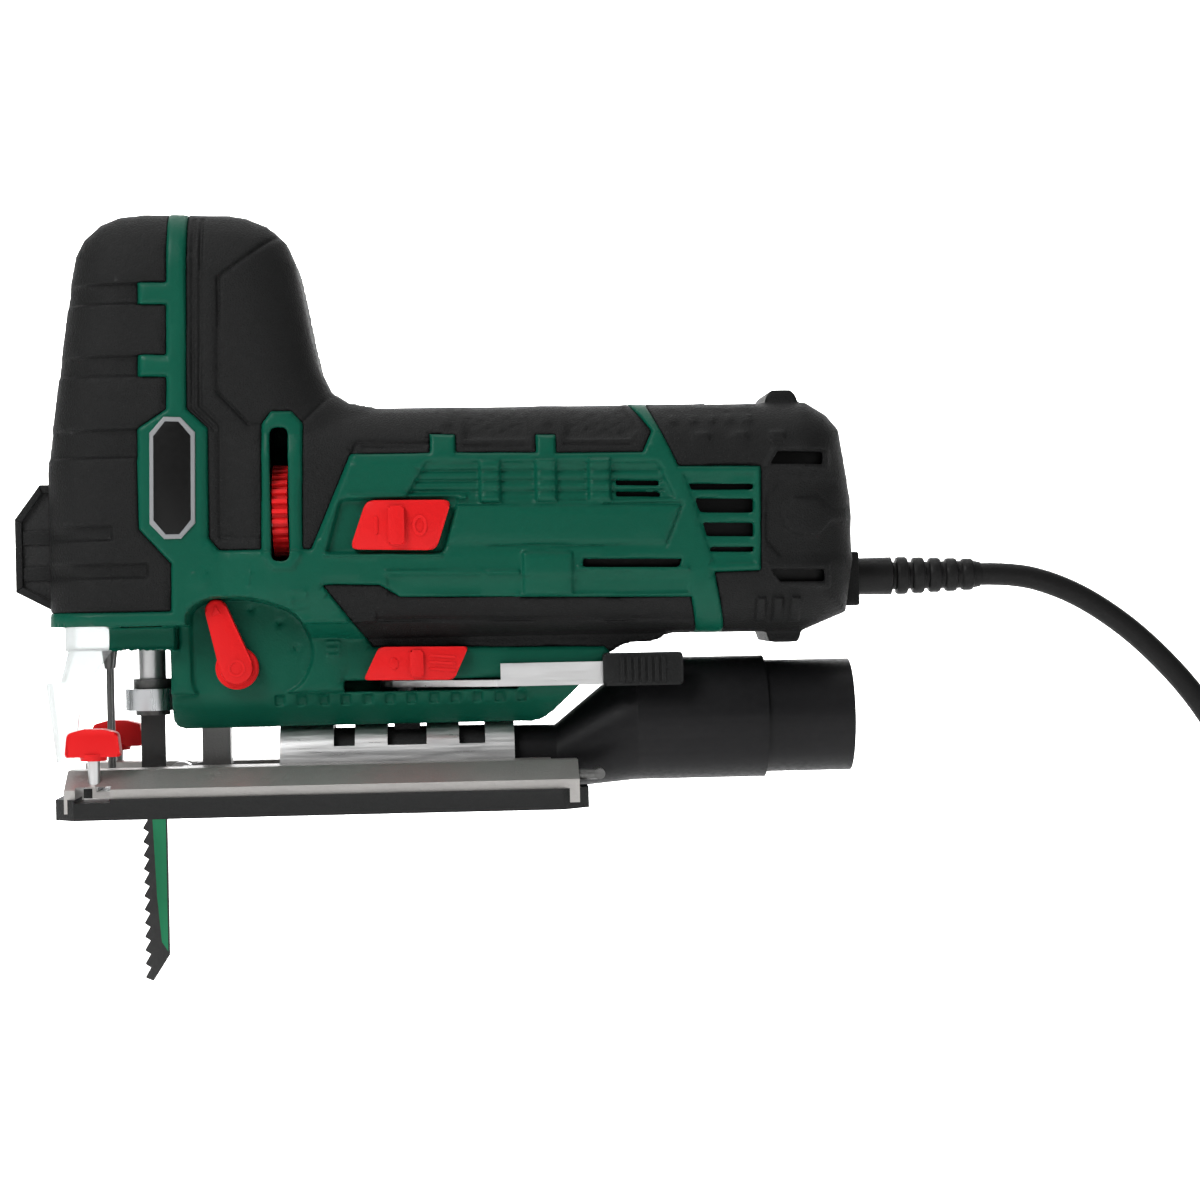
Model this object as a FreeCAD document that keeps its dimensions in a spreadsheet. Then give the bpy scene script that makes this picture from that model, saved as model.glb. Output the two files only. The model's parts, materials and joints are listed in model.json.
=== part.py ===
import FreeCAD, Part
import math
import os
import re
import Sketcher

# Barrel-grip electric jigsaw, in millimetres.
# Origin: centre of the sole's bottom face. +X runs to the rear (the cord), +Z up, left side at -Y.
# The base tilts about an axis along X at the height tilt_axis_z, and the blade moves along Z.

os.makedirs("parts", exist_ok=True)
doc = FreeCAD.newDocument("barrel_grip_jigsaw")
sheet = doc.addObject("Spreadsheet::Sheet", "sizes")

SIZES = [
    # the housing
    ("head_front", -82.5),
    ("head_rear", -3),
    ("head_top", 182.7),
    ("head_half_width", 30.5),
    ("nose_half_width", 16),
    ("nose_bottom", 57.3),
    ("barrel_axis_z", 88),
    ("barrel_top", 123),
    ("barrel_bottom", 51.8),
    ("barrel_half_width", 33),
    ("barrel_corner", 18),
    ("wall", 4),
    ("cap_front", 106),
    ("cap_rear", 163.5),
    ("strip_height", 17),
    ("foot_front", -46.4),
    ("foot_bottom", 25.3),
    ("foot_half_width", 19),
    ("foot_sole_half_width", 10.4),
    ("boss_radius", 4),
    ("screw_radius", 1.8),
    ("screw_head_radius", 3.4),
    # the base
    ("tilt_axis_z", 14),
    ("sole_front", -79.8),
    ("sole_rear", 79.8),
    ("sole_half_width", 38),
    ("slipper_rim", 2),
    ("slipper_thickness", 6.2),
    ("plate_top", 14.3),
    ("plate_side_z", 9),
    ("plate_flat_half", 26),
    ("blade_slot_half", 15.5),
    ("blade_slot_rear", -43.5),
    ("rear_notch_half", 18),
    ("rear_notch_front", 69),
    ("fence_slot_x", -68.3),
    ("fence_slot_width", 10.5),
    ("fence_slot_height", 4.6),
    ("saddle_outer", 14),
    ("saddle_wall", 1.7),
    ("saddle_front", -14),
    ("saddle_rear", 58),
    ("clamp_x", 25),
    ("clamp_bolt_radius", 3),
    ("lever_z", 36.8),
    ("lever_thickness", 2),
    ("lever_eye_radius", 8),
    ("handle_front", 85.2),
    ("handle_rear", 109.6),
    # the drive
    ("shaft_radius", 3.5),
    ("bearing_radius", 9.5),
    ("bearing_width", 6),
    ("gear_plate_rear", -16),
    ("gear_plate_thickness", 10),
    ("gear_front", -38),
    ("gear_width", 8),
    ("gear_module", 1),
    ("pinion_teeth", 8),
    ("gear_teeth", 48),
    ("axle_radius", 4),
    ("crank_radius", 10),
    ("crank_pin_radius", 3),
    ("stroke_down", 13),
    ("stroke_up", 7),
    ("stator_radius", 26),
    ("stator_front", 30),
    ("stator_length", 45),
    ("armature_radius", 14),
    ("commutator_radius", 11),
    ("fan_radius", 25),
    # the plunger and blade
    ("plunger_x", -53.6),
    ("plunger_radius", 4.2),
    ("plunger_top", 163),
    ("bushing_radius", 7),
    ("holder_radius", 5.9),
    ("collar_radius", 8.4),
    ("collar_low", 31.2),
    ("collar_high", 37.9),
    ("blade_thickness", 1.3),
    ("blade_back", -49.9),
    ("blade_width", 7.5),
    ("blade_tip", -52.8),
    ("roller_radius", 4.5),
    ("arm_half_width", 4),
    # the controls
    ("wheel_x", -11.5),
    ("wheel_radius", 14),
    ("wheel_width", 4.6),
    ("wheel_z", 91.5),
    ("slider_travel", 6),
    ("pendulum_x", -25.8),
    ("pendulum_z", 44.1),
    ("recess_top", 66),
    # dust extraction and cord
    ("duct_bore", 8.9),
    ("duct_wall", 1.5),
    ("trough_gap", 0.4),
    ("trough_floor", 1.6),
    ("adapter_neck", 10),
    ("adapter_radius", 19),
    ("spigot_radius", 17.5),
    ("spigot_bore", 15),
    ("adapter_z", 25.2),
    ("adapter_rear", 163.3),
    ("cord_radius", 3.6),
    ("cord_z", 68.3),
    ("relief_rear", 205.8),
    ("coil_x", 366),
    ("coil_y", 16),
    ("coil_z", -60.1),
    ("coil_radius", 40),
    ("coil_section", 11),
    ("tie_thickness", 0.8),
    # clearances
    ("gap", 0.3),
    ("fit_gap", 0.04),
]
for row, (alias, number) in enumerate(SIZES, start=1):
    sheet.set("A%d" % row, alias)
    sheet.set("B%d" % row, str(number))
    sheet.setAlias("B%d" % row, alias)
doc.recompute()
ALIASES = {alias for alias, _ in SIZES}
WORD = re.compile(r"[a-z_][a-z_0-9]*")
NODES = []


def bound(text):
    """The expression with each size's name pointing into the sheet."""
    return WORD.sub(lambda m: "sizes." + m.group(0) if m.group(0) in ALIASES else m.group(0), str(text))


def value(text):
    """The number that an expression has with the sheet's present sizes."""
    return float(sheet.evalExpression(bound(text)))


def node(obj, name):
    """Marks an object as a sub-part under its own name."""
    obj.Label = name
    NODES.append(obj)
    return obj


def place(obj, x="0", y="0", z="0"):
    for axis, text in zip("xyz", (x, y, z)):
        obj.setExpression("Placement.Base." + axis, bound(text))
    return obj


def box(x0, x1, y0, y1, z0, z1):
    obj = doc.addObject("Part::Box", "block")
    obj.setExpression("Length", bound("(%s) - (%s)" % (x1, x0)))
    obj.setExpression("Width", bound("(%s) - (%s)" % (y1, y0)))
    obj.setExpression("Height", bound("(%s) - (%s)" % (z1, z0)))
    return place(obj, x0, y0, z0)


TURNS = {"X": ((0, 1, 0), 90), "Y": ((1, 0, 0), -90), "Z": ((0, 0, 1), 0)}


def rod(axis, centre, radius, low, high):
    """A cylinder along an axis; centre is its two other coordinates, in X, Y, Z order."""
    obj = doc.addObject("Part::Cylinder", "rod")
    obj.setExpression("Radius", bound(radius))
    obj.setExpression("Height", bound("(%s) - (%s)" % (high, low)))
    vector, angle = TURNS[axis]
    obj.Placement = FreeCAD.Placement(FreeCAD.Vector(), FreeCAD.Rotation(FreeCAD.Vector(*vector), angle))
    spot = list(centre)
    spot.insert("XYZ".index(axis), low)
    return place(obj, *spot)


def cone(axis, centre, radius0, radius1, low, high):
    obj = doc.addObject("Part::Cone", "cone")
    obj.setExpression("Radius1", bound(radius0))
    obj.setExpression("Radius2", bound(radius1))
    obj.setExpression("Height", bound("(%s) - (%s)" % (high, low)))
    vector, angle = TURNS[axis]
    obj.Placement = FreeCAD.Placement(FreeCAD.Vector(), FreeCAD.Rotation(FreeCAD.Vector(*vector), angle))
    spot = list(centre)
    spot.insert("XYZ".index(axis), low)
    return place(obj, *spot)


PLANES = {"XZ": ("XZ_Plane", 1), "XY": ("XY_Plane", 2), "YZ": ("YZ_Plane", 0)}


def prism(plane, points, low, high, rounds=None):
    """A padded outline. rounds maps a point's index to the radius of the edge there."""
    role, across = PLANES[plane]
    body = doc.addObject("PartDesign::Body", "pad_body")
    sketch = body.newObject("Sketcher::SketchObject", "outline")
    origin = [f for f in body.Origin.OriginFeatures if f.Role == role][0]
    sketch.AttachmentSupport = [(origin, "")]
    sketch.MapMode = "FlatFace"
    spots = [(value(a), value(b)) for a, b in points]
    count = len(spots)
    for i in range(count):
        start = FreeCAD.Vector(*spots[i], 0)
        end = FreeCAD.Vector(*spots[(i + 1) % count], 0)
        sketch.addGeometry(Part.LineSegment(start, end))
    for i in range(count):
        sketch.addConstraint(Sketcher.Constraint("Coincident", i, 2, (i + 1) % count, 1))
    for i, (a, b) in enumerate(points):
        for kind, text, number in (("DistanceX", a, spots[i][0]), ("DistanceY", b, spots[i][1])):
            index = sketch.addConstraint(Sketcher.Constraint(kind, -1, 1, i, 1, number))
            sketch.setExpression("Constraints[%d]" % index, bound(text))
    pad = body.newObject("PartDesign::Pad", "pad")
    pad.Profile = sketch
    pad.setExpression("Length", bound("(%s) - (%s)" % (high, low)))
    doc.recompute()
    for index, radius in (rounds or {}).items():
        feature = body.Tip
        names = edges_at(feature.Shape, plane, spots[index])
        fillet = body.newObject("PartDesign::Fillet", "round")
        fillet.Base = (feature, names)
        fillet.setExpression("Radius", bound(radius))
        body.Tip = fillet
        doc.recompute()
    moved = ["0", "0", "0"]
    moved[across] = high if plane == "XZ" else low
    return place(body, *moved)


def edges_at(shape, plane, spot):
    """Names of the edges that run along the pad at one corner of its outline."""
    along = PLANES[plane][1]
    names = []
    for number, edge in enumerate(shape.Edges, start=1):
        ends = [[v.X, v.Y, v.Z] for v in edge.Vertexes]
        flat = [[c for k, c in enumerate(end) if k != along] for end in ends]
        near = all(math.dist(end, spot) < 1e-4 for end in flat)
        if len(ends) == 2 and near:
            names.append("Edge%d" % number)
    return names


def fuse(*parts):
    obj = doc.addObject("Part::MultiFuse", "joined")
    obj.Shapes = list(parts)
    obj.Refine = True
    return obj


def common(*parts):
    obj = doc.addObject("Part::MultiCommon", "shared")
    obj.Shapes = list(parts)
    return obj


def cut(base, *tools):
    tool = tools[0] if len(tools) == 1 else fuse(*tools)
    obj = doc.addObject("Part::Cut", "cut")
    obj.Base = base
    obj.Tool = tool
    obj.Refine = True
    return obj


def mirrored(source):
    """The same solid on the other side of the tool's middle plane."""
    obj = doc.addObject("Part::Mirroring", "mirrored")
    obj.Source = source
    obj.Base = FreeCAD.Vector(0, 0, 0)
    obj.Normal = FreeCAD.Vector(0, 1, 0)
    return obj


def group(*parts):
    """Separate solids in one sub-part."""
    obj = doc.addObject("Part::Compound", "group")
    obj.Links = list(parts)
    return obj


def both_sides(points):
    """An outline given for +Y, closed with its mirror image."""
    back = [(a, "-(%s)" % b) for a, b in reversed(points)]
    return list(points) + back


# ---------------------------------------------------------------- housing: the outer form
BLOCK_BOTTOM = "barrel_bottom - 1.8"
FAR = "barrel_half_width + 4"
outline = prism("XZ", [
    ("head_front", "nose_bottom"), ("head_front", "barrel_top - 18"),
    ("head_front + 6.5", "head_top - 30"),
    ("head_front + 10", "head_top - 8"), ("head_front + 22", "head_top"),
    ("head_rear - 20", "head_top"),
    ("head_rear - 10", "head_top - 6"), ("head_rear - 4", "head_top - 20"),
    ("head_rear + 3.5", "barrel_top + 9"),
    ("head_rear + 18", "barrel_top"), ("cap_front", "barrel_top"), ("cap_front", "barrel_bottom"),
    ("foot_front", "barrel_bottom"), ("foot_front", BLOCK_BOTTOM), ("foot_front - 18", BLOCK_BOTTOM),
    ("foot_front - 18", "nose_bottom"),
], "-(%s)" % FAR, FAR, {3: "8", 4: "12", 5: "12", 6: "8"})
barrel_form = prism("YZ", [
    ("-barrel_half_width", "barrel_bottom"), ("barrel_half_width", "barrel_bottom"),
    ("barrel_half_width", "barrel_top"), ("-barrel_half_width", "barrel_top"),
], "head_rear - 8", "cap_front", {k: "barrel_corner" for k in range(4)})
head_form = prism("XY", both_sides([
    ("head_front", "nose_half_width"), ("head_front + 16", "head_half_width"),
    ("head_rear - 6", "head_half_width"), ("head_rear + 19", "head_half_width - 9"),
]), "foot_bottom", "head_top + 5")
upper_form = common(outline, fuse(barrel_form, head_form))

foot_outline = prism("XZ", [
    ("foot_front", "barrel_bottom + 6"), ("foot_front", "foot_bottom"),
    ("sole_rear - 13", "foot_bottom"),
    ("sole_rear + 8.9", "barrel_bottom - 4.8"), ("sole_rear + 24", "barrel_bottom - 2"),
    ("sole_rear + 26", "barrel_bottom + 6"),
], "-foot_half_width - 12", "foot_half_width + 12", {1: "5", 2: "6"})
foot_section = prism("YZ", [
    ("-foot_sole_half_width", "foot_bottom"), ("foot_sole_half_width", "foot_bottom"),
    ("foot_half_width - 1.6", "foot_bottom + 7.1"), ("foot_half_width", "foot_bottom + 10.5"),
    ("foot_half_width", "barrel_bottom - 4"), ("foot_half_width + 8", "barrel_bottom + 6"),
    ("-foot_half_width - 8", "barrel_bottom + 6"), ("-foot_half_width", "barrel_bottom - 4"),
    ("-foot_half_width", "foot_bottom + 10.5"), ("-foot_half_width + 1.6", "foot_bottom + 7.1"),
], "foot_front", "sole_rear + 26")
body_form = fuse(upper_form, common(foot_outline, foot_section))

# ---------------------------------------------------------------- housing: what is cut out of it
HEAD_FLOOR = "nose_bottom + 9"
head_room = common(
    prism("XZ", [
        ("head_front + wall", HEAD_FLOOR), ("head_front + wall", "barrel_top - 14"),
        ("head_front + wall + 8", "head_top - 20"), ("head_front + wall + 18", "head_top - wall - 4"),
        ("head_rear - wall - 18", "head_top - wall - 4"), ("gear_plate_rear - 2", "head_top - 22"),
        ("gear_plate_rear", "barrel_top + 20"), ("gear_plate_rear", HEAD_FLOOR),
    ], "-head_half_width", "head_half_width"),
    prism("XY", both_sides([
        ("head_front", "nose_half_width - wall"), ("head_front + 17", "head_half_width - wall"),
        ("gear_plate_rear", "head_half_width - wall"),
    ]), "foot_bottom", "head_top"),
)
motor_room = rod("X", ("0", "barrel_axis_z"), "barrel_half_width - wall", "head_rear - 2",
                 "cap_front - 10")
shaft_hole = rod("X", ("0", "barrel_axis_z"), "shaft_radius + 1", "gear_plate_rear - 1",
                 "cap_front + 1")
rear_bearing_seat = rod("X", ("0", "barrel_axis_z"), "bearing_radius", "cap_front - 11",
                        "cap_front - 10 + bearing_width")
WHEEL = ("-barrel_half_width + wheel_radius + 1", "wheel_z")
wheel_slot = box("wheel_x - wheel_width / 2 - gap", "wheel_x + wheel_width / 2 + gap",
                 "-" + FAR.replace("+", "-"),
                 "-barrel_half_width + 2 * wheel_radius + 1 + gap", "wheel_z - wheel_radius - 2",
                 "wheel_z + wheel_radius + 2")
plunger_hole = rod("Z", ("plunger_x", "0"), "bushing_radius", "foot_bottom", "nose_bottom + 10")
saddle_groove = rod("X", ("0", "tilt_axis_z"), "saddle_outer + gap", "saddle_front - 1",
                    "sole_rear + 10")
collar_room = rod("Z", ("plunger_x", "0"), "collar_radius + 3.4", "foot_bottom - 1", BLOCK_BOTTOM)
arm_room = box("foot_front - 1", "foot_front + 18.5", "-arm_half_width - gap", "arm_half_width + gap",
               "foot_bottom - 1", "foot_bottom + 15")
lever_room = box("clamp_x - 18.6", "saddle_rear + 1", "-foot_half_width - 15", "lever_eye_radius + 1",
                 "lever_z - gap", "lever_z + lever_thickness + gap")
bolt_hole = rod("Z", ("clamp_x", "0"), "clamp_bolt_radius", "foot_bottom - 1", "lever_z + 9")
nut_room = rod("Z", ("clamp_x", "0"), "clamp_bolt_radius + 3", "lever_z + 1", "lever_z + 9")
left_recess = prism("XZ", [
    ("foot_front - 20", "foot_bottom - 5"), ("pendulum_x + 22", "foot_bottom - 5"),
    ("pendulum_x + 23", "pendulum_z + 14"), ("pendulum_x + 11", "recess_top"),
    ("foot_front - 1", "recess_top"), ("foot_front - 1", "barrel_bottom - 1.9"),
    ("foot_front - 20", "barrel_bottom - 1.9"),
], "-barrel_half_width - 5", "-foot_half_width", {2: "8", 3: "8"})
pendulum_hole = rod("Y", ("pendulum_x", "pendulum_z"), "3 + fit_gap", "-foot_half_width - 1",
                    "-arm_half_width")
SWITCH_FLOOR = "barrel_half_width - 1.6"
switch_recess = prism("XZ", [
    ("3.2", "78.2"), ("36.8", "77.6"), ("43", "94.6"), ("7.5", "94.2"),
], "-barrel_half_width - 3", "-(%s)" % SWITCH_FLOOR)
switch_slit = box("11.5", "29.5", "-barrel_half_width", "-barrel_half_width + wall + 3", "84", "89")
blower_recess = box("6", "50", "-foot_half_width - 20", "-foot_half_width", "39.2", "50.4")
blower_slit = box("19.5", "35.5", "-foot_half_width - 1", "-foot_half_width + 4", "43", "47")
plate_points = [("-50.4", "89"), ("-46", "83.4"), ("-41.2", "83.4"), ("-36.8", "89"),
                ("-36.8", "114.3"), ("-41.2", "119.9"), ("-46", "119.9"), ("-50.4", "114.3")]
plate_recess = prism("XZ", plate_points, "-head_half_width - 1", "-head_half_width + 1.2")

SCREW_SPOTS = [("head_rear - 14", "head_top - 12"), ("head_front + 20", "head_top - 14"),
               ("plunger_x - 20", "nose_bottom + 4"), ("foot_front + 28", "nose_bottom + 4"),
               ("sole_rear", "barrel_bottom + 4"), ("5", "barrel_bottom + 4")]
bosses = [rod("Y", spot, "boss_radius", "-head_half_width + wall", "head_half_width - wall")
          for spot in SCREW_SPOTS[:2]]
shell_form = cut(fuse(cut(body_form, head_room, motor_room), *bosses),
                 shaft_hole, rear_bearing_seat, wheel_slot, plunger_hole, saddle_groove, arm_room,
                 collar_room,
                 lever_room, bolt_hole, nut_room, left_recess, pendulum_hole, switch_recess,
                 switch_slit,
                 blower_slit, blower_recess, plate_recess, mirrored(plate_recess),
                 *[rod("Y", spot, "screw_radius", "-10", "13") for spot in SCREW_SPOTS],
                 *[rod("Y", spot, "screw_head_radius", "13", FAR) for spot in SCREW_SPOTS])

# ---------------------------------------------------------------- housing: regions of each piece
front_region = prism("XZ", [
    ("head_front - 2", "nose_bottom + 5"), ("head_front + 38", "nose_bottom + 5"),
    ("head_front + 38", "nose_bottom + 19.5"), ("head_front + 29.5", "nose_bottom + 28"),
    ("head_front + 29.5", "barrel_top - 3"), ("head_front + 37", "barrel_top + 4"),
    ("head_front + 37", "head_top + 3"), ("head_front - 2", "head_top + 3"),
], "-" + FAR.replace("+", "-"), FAR)
head_region = prism("XZ", [
    ("head_rear - 33", "head_top + 3"), ("head_rear - 33", "barrel_top + 4"),
    ("head_rear - 24", "barrel_top - 5"),
    ("head_rear - 14", "barrel_top - 5"), ("7", "barrel_top - 16"), ("20", "barrel_top - 13"),
    ("cap_front - 8", "barrel_top - 13"), ("cap_front - 8", "barrel_top + 2"),
    ("head_rear + 20", "barrel_top + 2"),
    ("head_rear + 20", "head_top + 3"),
], "-" + FAR.replace("+", "-"), FAR)
strip_region = prism("XZ", [
    ("1.4", "barrel_bottom + strip_height"), ("18", "barrel_bottom + strip_height"),
    ("23.9", "barrel_bottom + strip_height - 4"), ("cap_front - 0.1",
                                                   "barrel_bottom + strip_height - 4"),
    ("cap_front - 0.1", "barrel_bottom - 2"), ("1.4", "barrel_bottom - 2"),
], "-" + FAR.replace("+", "-"), FAR)
strip_core = box("-1", "cap_front", "-foot_half_width - 5", "foot_half_width + 5", "foot_bottom",
                 "barrel_axis_z")
strip_zone = cut(strip_region, strip_core)
left_side = box("-300", "300", "-100", "0", "-50", "250")
right_side = box("-300", "300", "0", "100", "-50", "250")
for side, half in (("left", left_side), ("right", right_side)):
    half_form = common(shell_form, half)
    node(cut(half_form, front_region, head_region, strip_zone), side + "_housing_shell")
    node(common(half_form, front_region), side + "_front_grip")
    node(common(half_form, head_region), side + "_head_grip")
    node(common(half_form, strip_zone), side + "_side_strip")

# ---------------------------------------------------------------- rear cap and nose
cap_outline = prism("XZ", [
    ("cap_front", "barrel_bottom"), ("cap_rear - 17", "barrel_bottom"),
    ("cap_rear - 2.5", "barrel_bottom + 5.5"),
    ("cap_rear", "barrel_bottom + 10"), ("cap_rear", "barrel_top - 26"),
    ("cap_rear - 4", "barrel_top - 13"),
    ("cap_rear - 8", "barrel_top - 4"), ("cap_rear - 17", "barrel_top"), ("cap_front", "barrel_top"),
], "-" + FAR.replace("+", "-"), FAR)
cap_section = prism("YZ", [
    ("-barrel_half_width", "barrel_bottom"), ("barrel_half_width", "barrel_bottom"),
    ("barrel_half_width", "barrel_top"), ("-barrel_half_width", "barrel_top"),
], "cap_front", "cap_rear", {k: "barrel_corner" for k in range(4)})
cap_room = prism("XZ", [
    ("cap_front - 1", "barrel_bottom + wall + 4"), ("cap_rear - wall - 2", "barrel_bottom + wall + 4"),
    ("cap_rear - wall - 2", "barrel_top - 28"), ("cap_rear - wall - 10", "barrel_top - wall - 6"),
    ("cap_front - 1", "barrel_top - wall - 6"),
], "-barrel_half_width + wall + 4", "barrel_half_width - wall - 4")
LUGS = [("cap_rear - 21.4", "barrel_top - 1.2", "5"), ("cap_rear - 22", "barrel_bottom + 0.2", "5.3")]
lugs = [rod("Y", spot[:2], spot[2], "-17", "17") for spot in LUGS]
cord_boss = rod("X", ("0", "cord_z"), "9", "cap_rear - 6", "cap_rear + 3")
cord_hole = rod("X", ("0", "cord_z"), "cord_radius + 2.4", "cap_rear - 8", "cap_rear + 4")
node(cut(fuse(common(cap_outline, cap_section), cord_boss, *lugs), cap_room, cord_hole), "rear_cap")

bumper_points = [("-8", "62.3"), ("8", "62.3"), ("14", "70"), ("14", "92"), ("8", "101"), ("-8", "101"),
                 ("-14", "92"), ("-14", "70")]
NOSE_FACE = "head_front - 10.5"
bumper_ring = prism("YZ", bumper_points, NOSE_FACE, "head_front")
bumper_dish = prism("YZ", [("-5", "69"), ("5", "69"), ("9", "74"), ("9", "86"), ("5", "91"),
                           ("-5", "91"),
                           ("-9", "86"), ("-9", "74")], NOSE_FACE + " - 1", NOSE_FACE + " + 5")
bumper_slope = prism("XZ", [
    (NOSE_FACE, "90.6"), (NOSE_FACE + " + 7.3", "101"), (NOSE_FACE + " + 7.3", "103"),
    (NOSE_FACE + " - 2", "103"),
    (NOSE_FACE + " - 2", "90.6"),
], "-20", "20")
bumper_slope_low = prism("XZ", [
    (NOSE_FACE, "68.2"), (NOSE_FACE + " - 2", "68.2"), (NOSE_FACE + " - 2", "60"),
    ("head_front + 0.1", "60"),
    ("head_front + 0.1", "62.3"),
], "-20", "20")
node(cut(bumper_ring, bumper_dish, bumper_slope, bumper_slope_low), "front_bumper")
plate_left = prism("XZ", plate_points, "-head_half_width", "-head_half_width + 1.2")
node(group(plate_left, mirrored(plate_left)), "blank_plates")
screws = []
for spot in SCREW_SPOTS:
    screws.append(fuse(rod("Y", spot, "screw_radius", "-10", "13"),
                       rod("Y", spot, "screw_head_radius", "13", "15.4")))
node(group(*screws), "housing_screws")

# ---------------------------------------------------------------- motor
GEAR_Z = "(barrel_axis_z + gear_module * (pinion_teeth + gear_teeth) / 2)"


def toothed(name, teeth, tip, root, bore, low, high, centre_z, phase):
    """A spur gear along X with short straight-sided teeth, its sizes read from the sheet."""
    step = 2 * math.pi / teeth
    corners = []
    for k in range(teeth):
        middle = phase + k * step
        flank = [(root, -0.36), (tip, -0.13), (tip, 0.13), (root, 0.36)]
        for radius, share in flank:
            angle = middle + share * step
            corners.append(FreeCAD.Vector(low, radius * math.cos(angle),
                                          centre_z + radius * math.sin(angle)))
    face = Part.Face(Part.makePolygon(corners + corners[:1]))
    solid = face.extrude(FreeCAD.Vector(high - low, 0, 0))
    if bore:
        hub = Part.makeCylinder(bore, high - low, FreeCAD.Vector(low, 0, centre_z),
                                FreeCAD.Vector(1, 0, 0))
        solid = solid.cut(hub)
    obj = doc.addObject("Part::Feature", name)
    obj.Shape = solid
    return obj


MODULE = value("gear_module")
pinion = toothed("pinion", int(value("pinion_teeth")), value("gear_module * pinion_teeth / 2") + 0.6 * MODULE,
                 value("gear_module * pinion_teeth / 2") - 1.0 * MODULE, 0, value("gear_front"),
                 value("gear_front + gear_width + 2"), value("barrel_axis_z"),
                 math.pi / 2 + math.pi / value("pinion_teeth"))
wheel = toothed("gear_ring", int(value("gear_teeth")), value("gear_module * gear_teeth / 2") + 0.6 * MODULE,
                value("gear_module * gear_teeth / 2") - 1.2 * MODULE, value("axle_radius + fit_gap"),
                value("gear_front"), value("gear_front + gear_width"), value(GEAR_Z), -math.pi / 2)
node(wheel, "drive_gear")
pin_angle = math.asin(value("(stroke_down - stroke_up) / 2 / crank_radius"))
pin_y = "crank_radius * cos(%.6f)" % math.degrees(pin_angle)
pin_z = GEAR_Z + " + (stroke_down - stroke_up) / 2"
YOKE_REAR = "plunger_x + 11"
node(rod("X", (pin_y, pin_z), "crank_pin_radius", YOKE_REAR + " + gap", "gear_front"), "crank_pin")
node(rod("X", ("0", GEAR_Z), "axle_radius", "gear_front - 0.5",
         "gear_plate_rear - gear_plate_thickness / 2"),
     "gear_axle")
PLATE_FRONT = "gear_plate_rear - gear_plate_thickness"
plate_block = box(PLATE_FRONT, "gear_plate_rear", "-head_half_width + wall + gap",
                  "head_half_width - wall - gap",
                  HEAD_FLOOR + " + gap", GEAR_Z + " + 24")
front_bearing_bore = rod("X", ("0", "barrel_axis_z"), "bearing_radius",
                         "gear_plate_rear - bearing_width - 1",
                         "gear_plate_rear + 1")
plate_shaft_hole = rod("X", ("0", "barrel_axis_z"), "pinion_teeth * gear_module / 2 + 2",
                       PLATE_FRONT + " - 1",
                       "gear_plate_rear")
axle_hole = rod("X", ("0", GEAR_Z), "axle_radius", PLATE_FRONT + " - 1",
                "gear_plate_rear - gear_plate_thickness / 2")
gear_plate = cut(plate_block, front_bearing_bore, plate_shaft_hole, axle_hole)


def ring(axis, centre, outer, inner, low, high):
    return cut(rod(axis, centre, outer, low, high),
               rod(axis, centre, inner, "(%s) - 1" % low, "(%s) + 1" % high))


SHAFT = ("0", "barrel_axis_z")
node(group(ring("X", SHAFT, "bearing_radius", "shaft_radius + fit_gap",
                "gear_plate_rear - bearing_width",
                "gear_plate_rear"),
           ring("X", SHAFT, "bearing_radius", "shaft_radius + fit_gap", "cap_front - 10",
                "cap_front - 10 + bearing_width")), "motor_bearings")
node(fuse(rod("X", SHAFT, "shaft_radius", "gear_front + gear_width + 2", "cap_front - 3"), pinion),
     "motor_shaft")
STATOR_REAR = "stator_front + stator_length"
node(ring("X", SHAFT, "armature_radius", "shaft_radius", "stator_front - 1", STATOR_REAR + " + 1"),
     "armature_core")
node(ring("X", SHAFT, "commutator_radius", "shaft_radius", STATOR_REAR + " + 4", STATOR_REAR + " + 14"),
     "commutator")
fan_hub = rod("X", SHAFT, "9", "8", "18")
fan_disc = rod("X", SHAFT, "fan_radius", "8", "10")
blades = [box("8", "18", "-0.7", "0.7", "barrel_axis_z + 7",
              "barrel_axis_z + fan_radius - 1") for _ in range(12)]
for k, blade in enumerate(blades):
    turn = FreeCAD.Rotation(FreeCAD.Vector(1, 0, 0), 30 * k)
    centre = FreeCAD.Vector(0, 0, value("barrel_axis_z"))
    obj = doc.addObject("Part::Compound", "fan_blade")
    obj.Links = [blade]
    obj.Placement = FreeCAD.Placement(FreeCAD.Vector(), turn, centre)
    blades[k] = obj
node(cut(fuse(fan_hub, fan_disc, *blades), rod("X", SHAFT, "shaft_radius", "7", "19")), "cooling_fan")
stator_ring = ring("X", SHAFT, "stator_radius", "armature_radius + 4.5", "stator_front", STATOR_REAR)
poles = [box("stator_front", STATOR_REAR, "-9", "9", "barrel_axis_z + %s * 16.5 - 2.5" % sign,
             "barrel_axis_z + %s * 16.5 + 2.5" % sign) for sign in ("1", "-1")]
pole_bore = rod("X", SHAFT, "armature_radius + 0.6", "stator_front - 1", STATOR_REAR + " + 1")
node(cut(fuse(stator_ring, *poles), pole_bore), "stator_core")
coil_ring = ring("X", SHAFT, "stator_radius - 3", "armature_radius + 1.5", "0", "6")
coils = [box("0", "6", "-40", "40", "barrel_axis_z + %s" % low, "barrel_axis_z + %s" % high)
         for low, high in (("8", "40"), ("-40", "-8"))]
end_coils = []
for start in ("stator_front - 6.2", STATOR_REAR + " + 0.2"):
    for block in coils:
        lump = doc.addObject("Part::Compound", "end_coil")
        lump.Links = [common(coil_ring, block)]
        end_coils.append(place(lump, start))
node(group(*end_coils), "field_coils")
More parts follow.
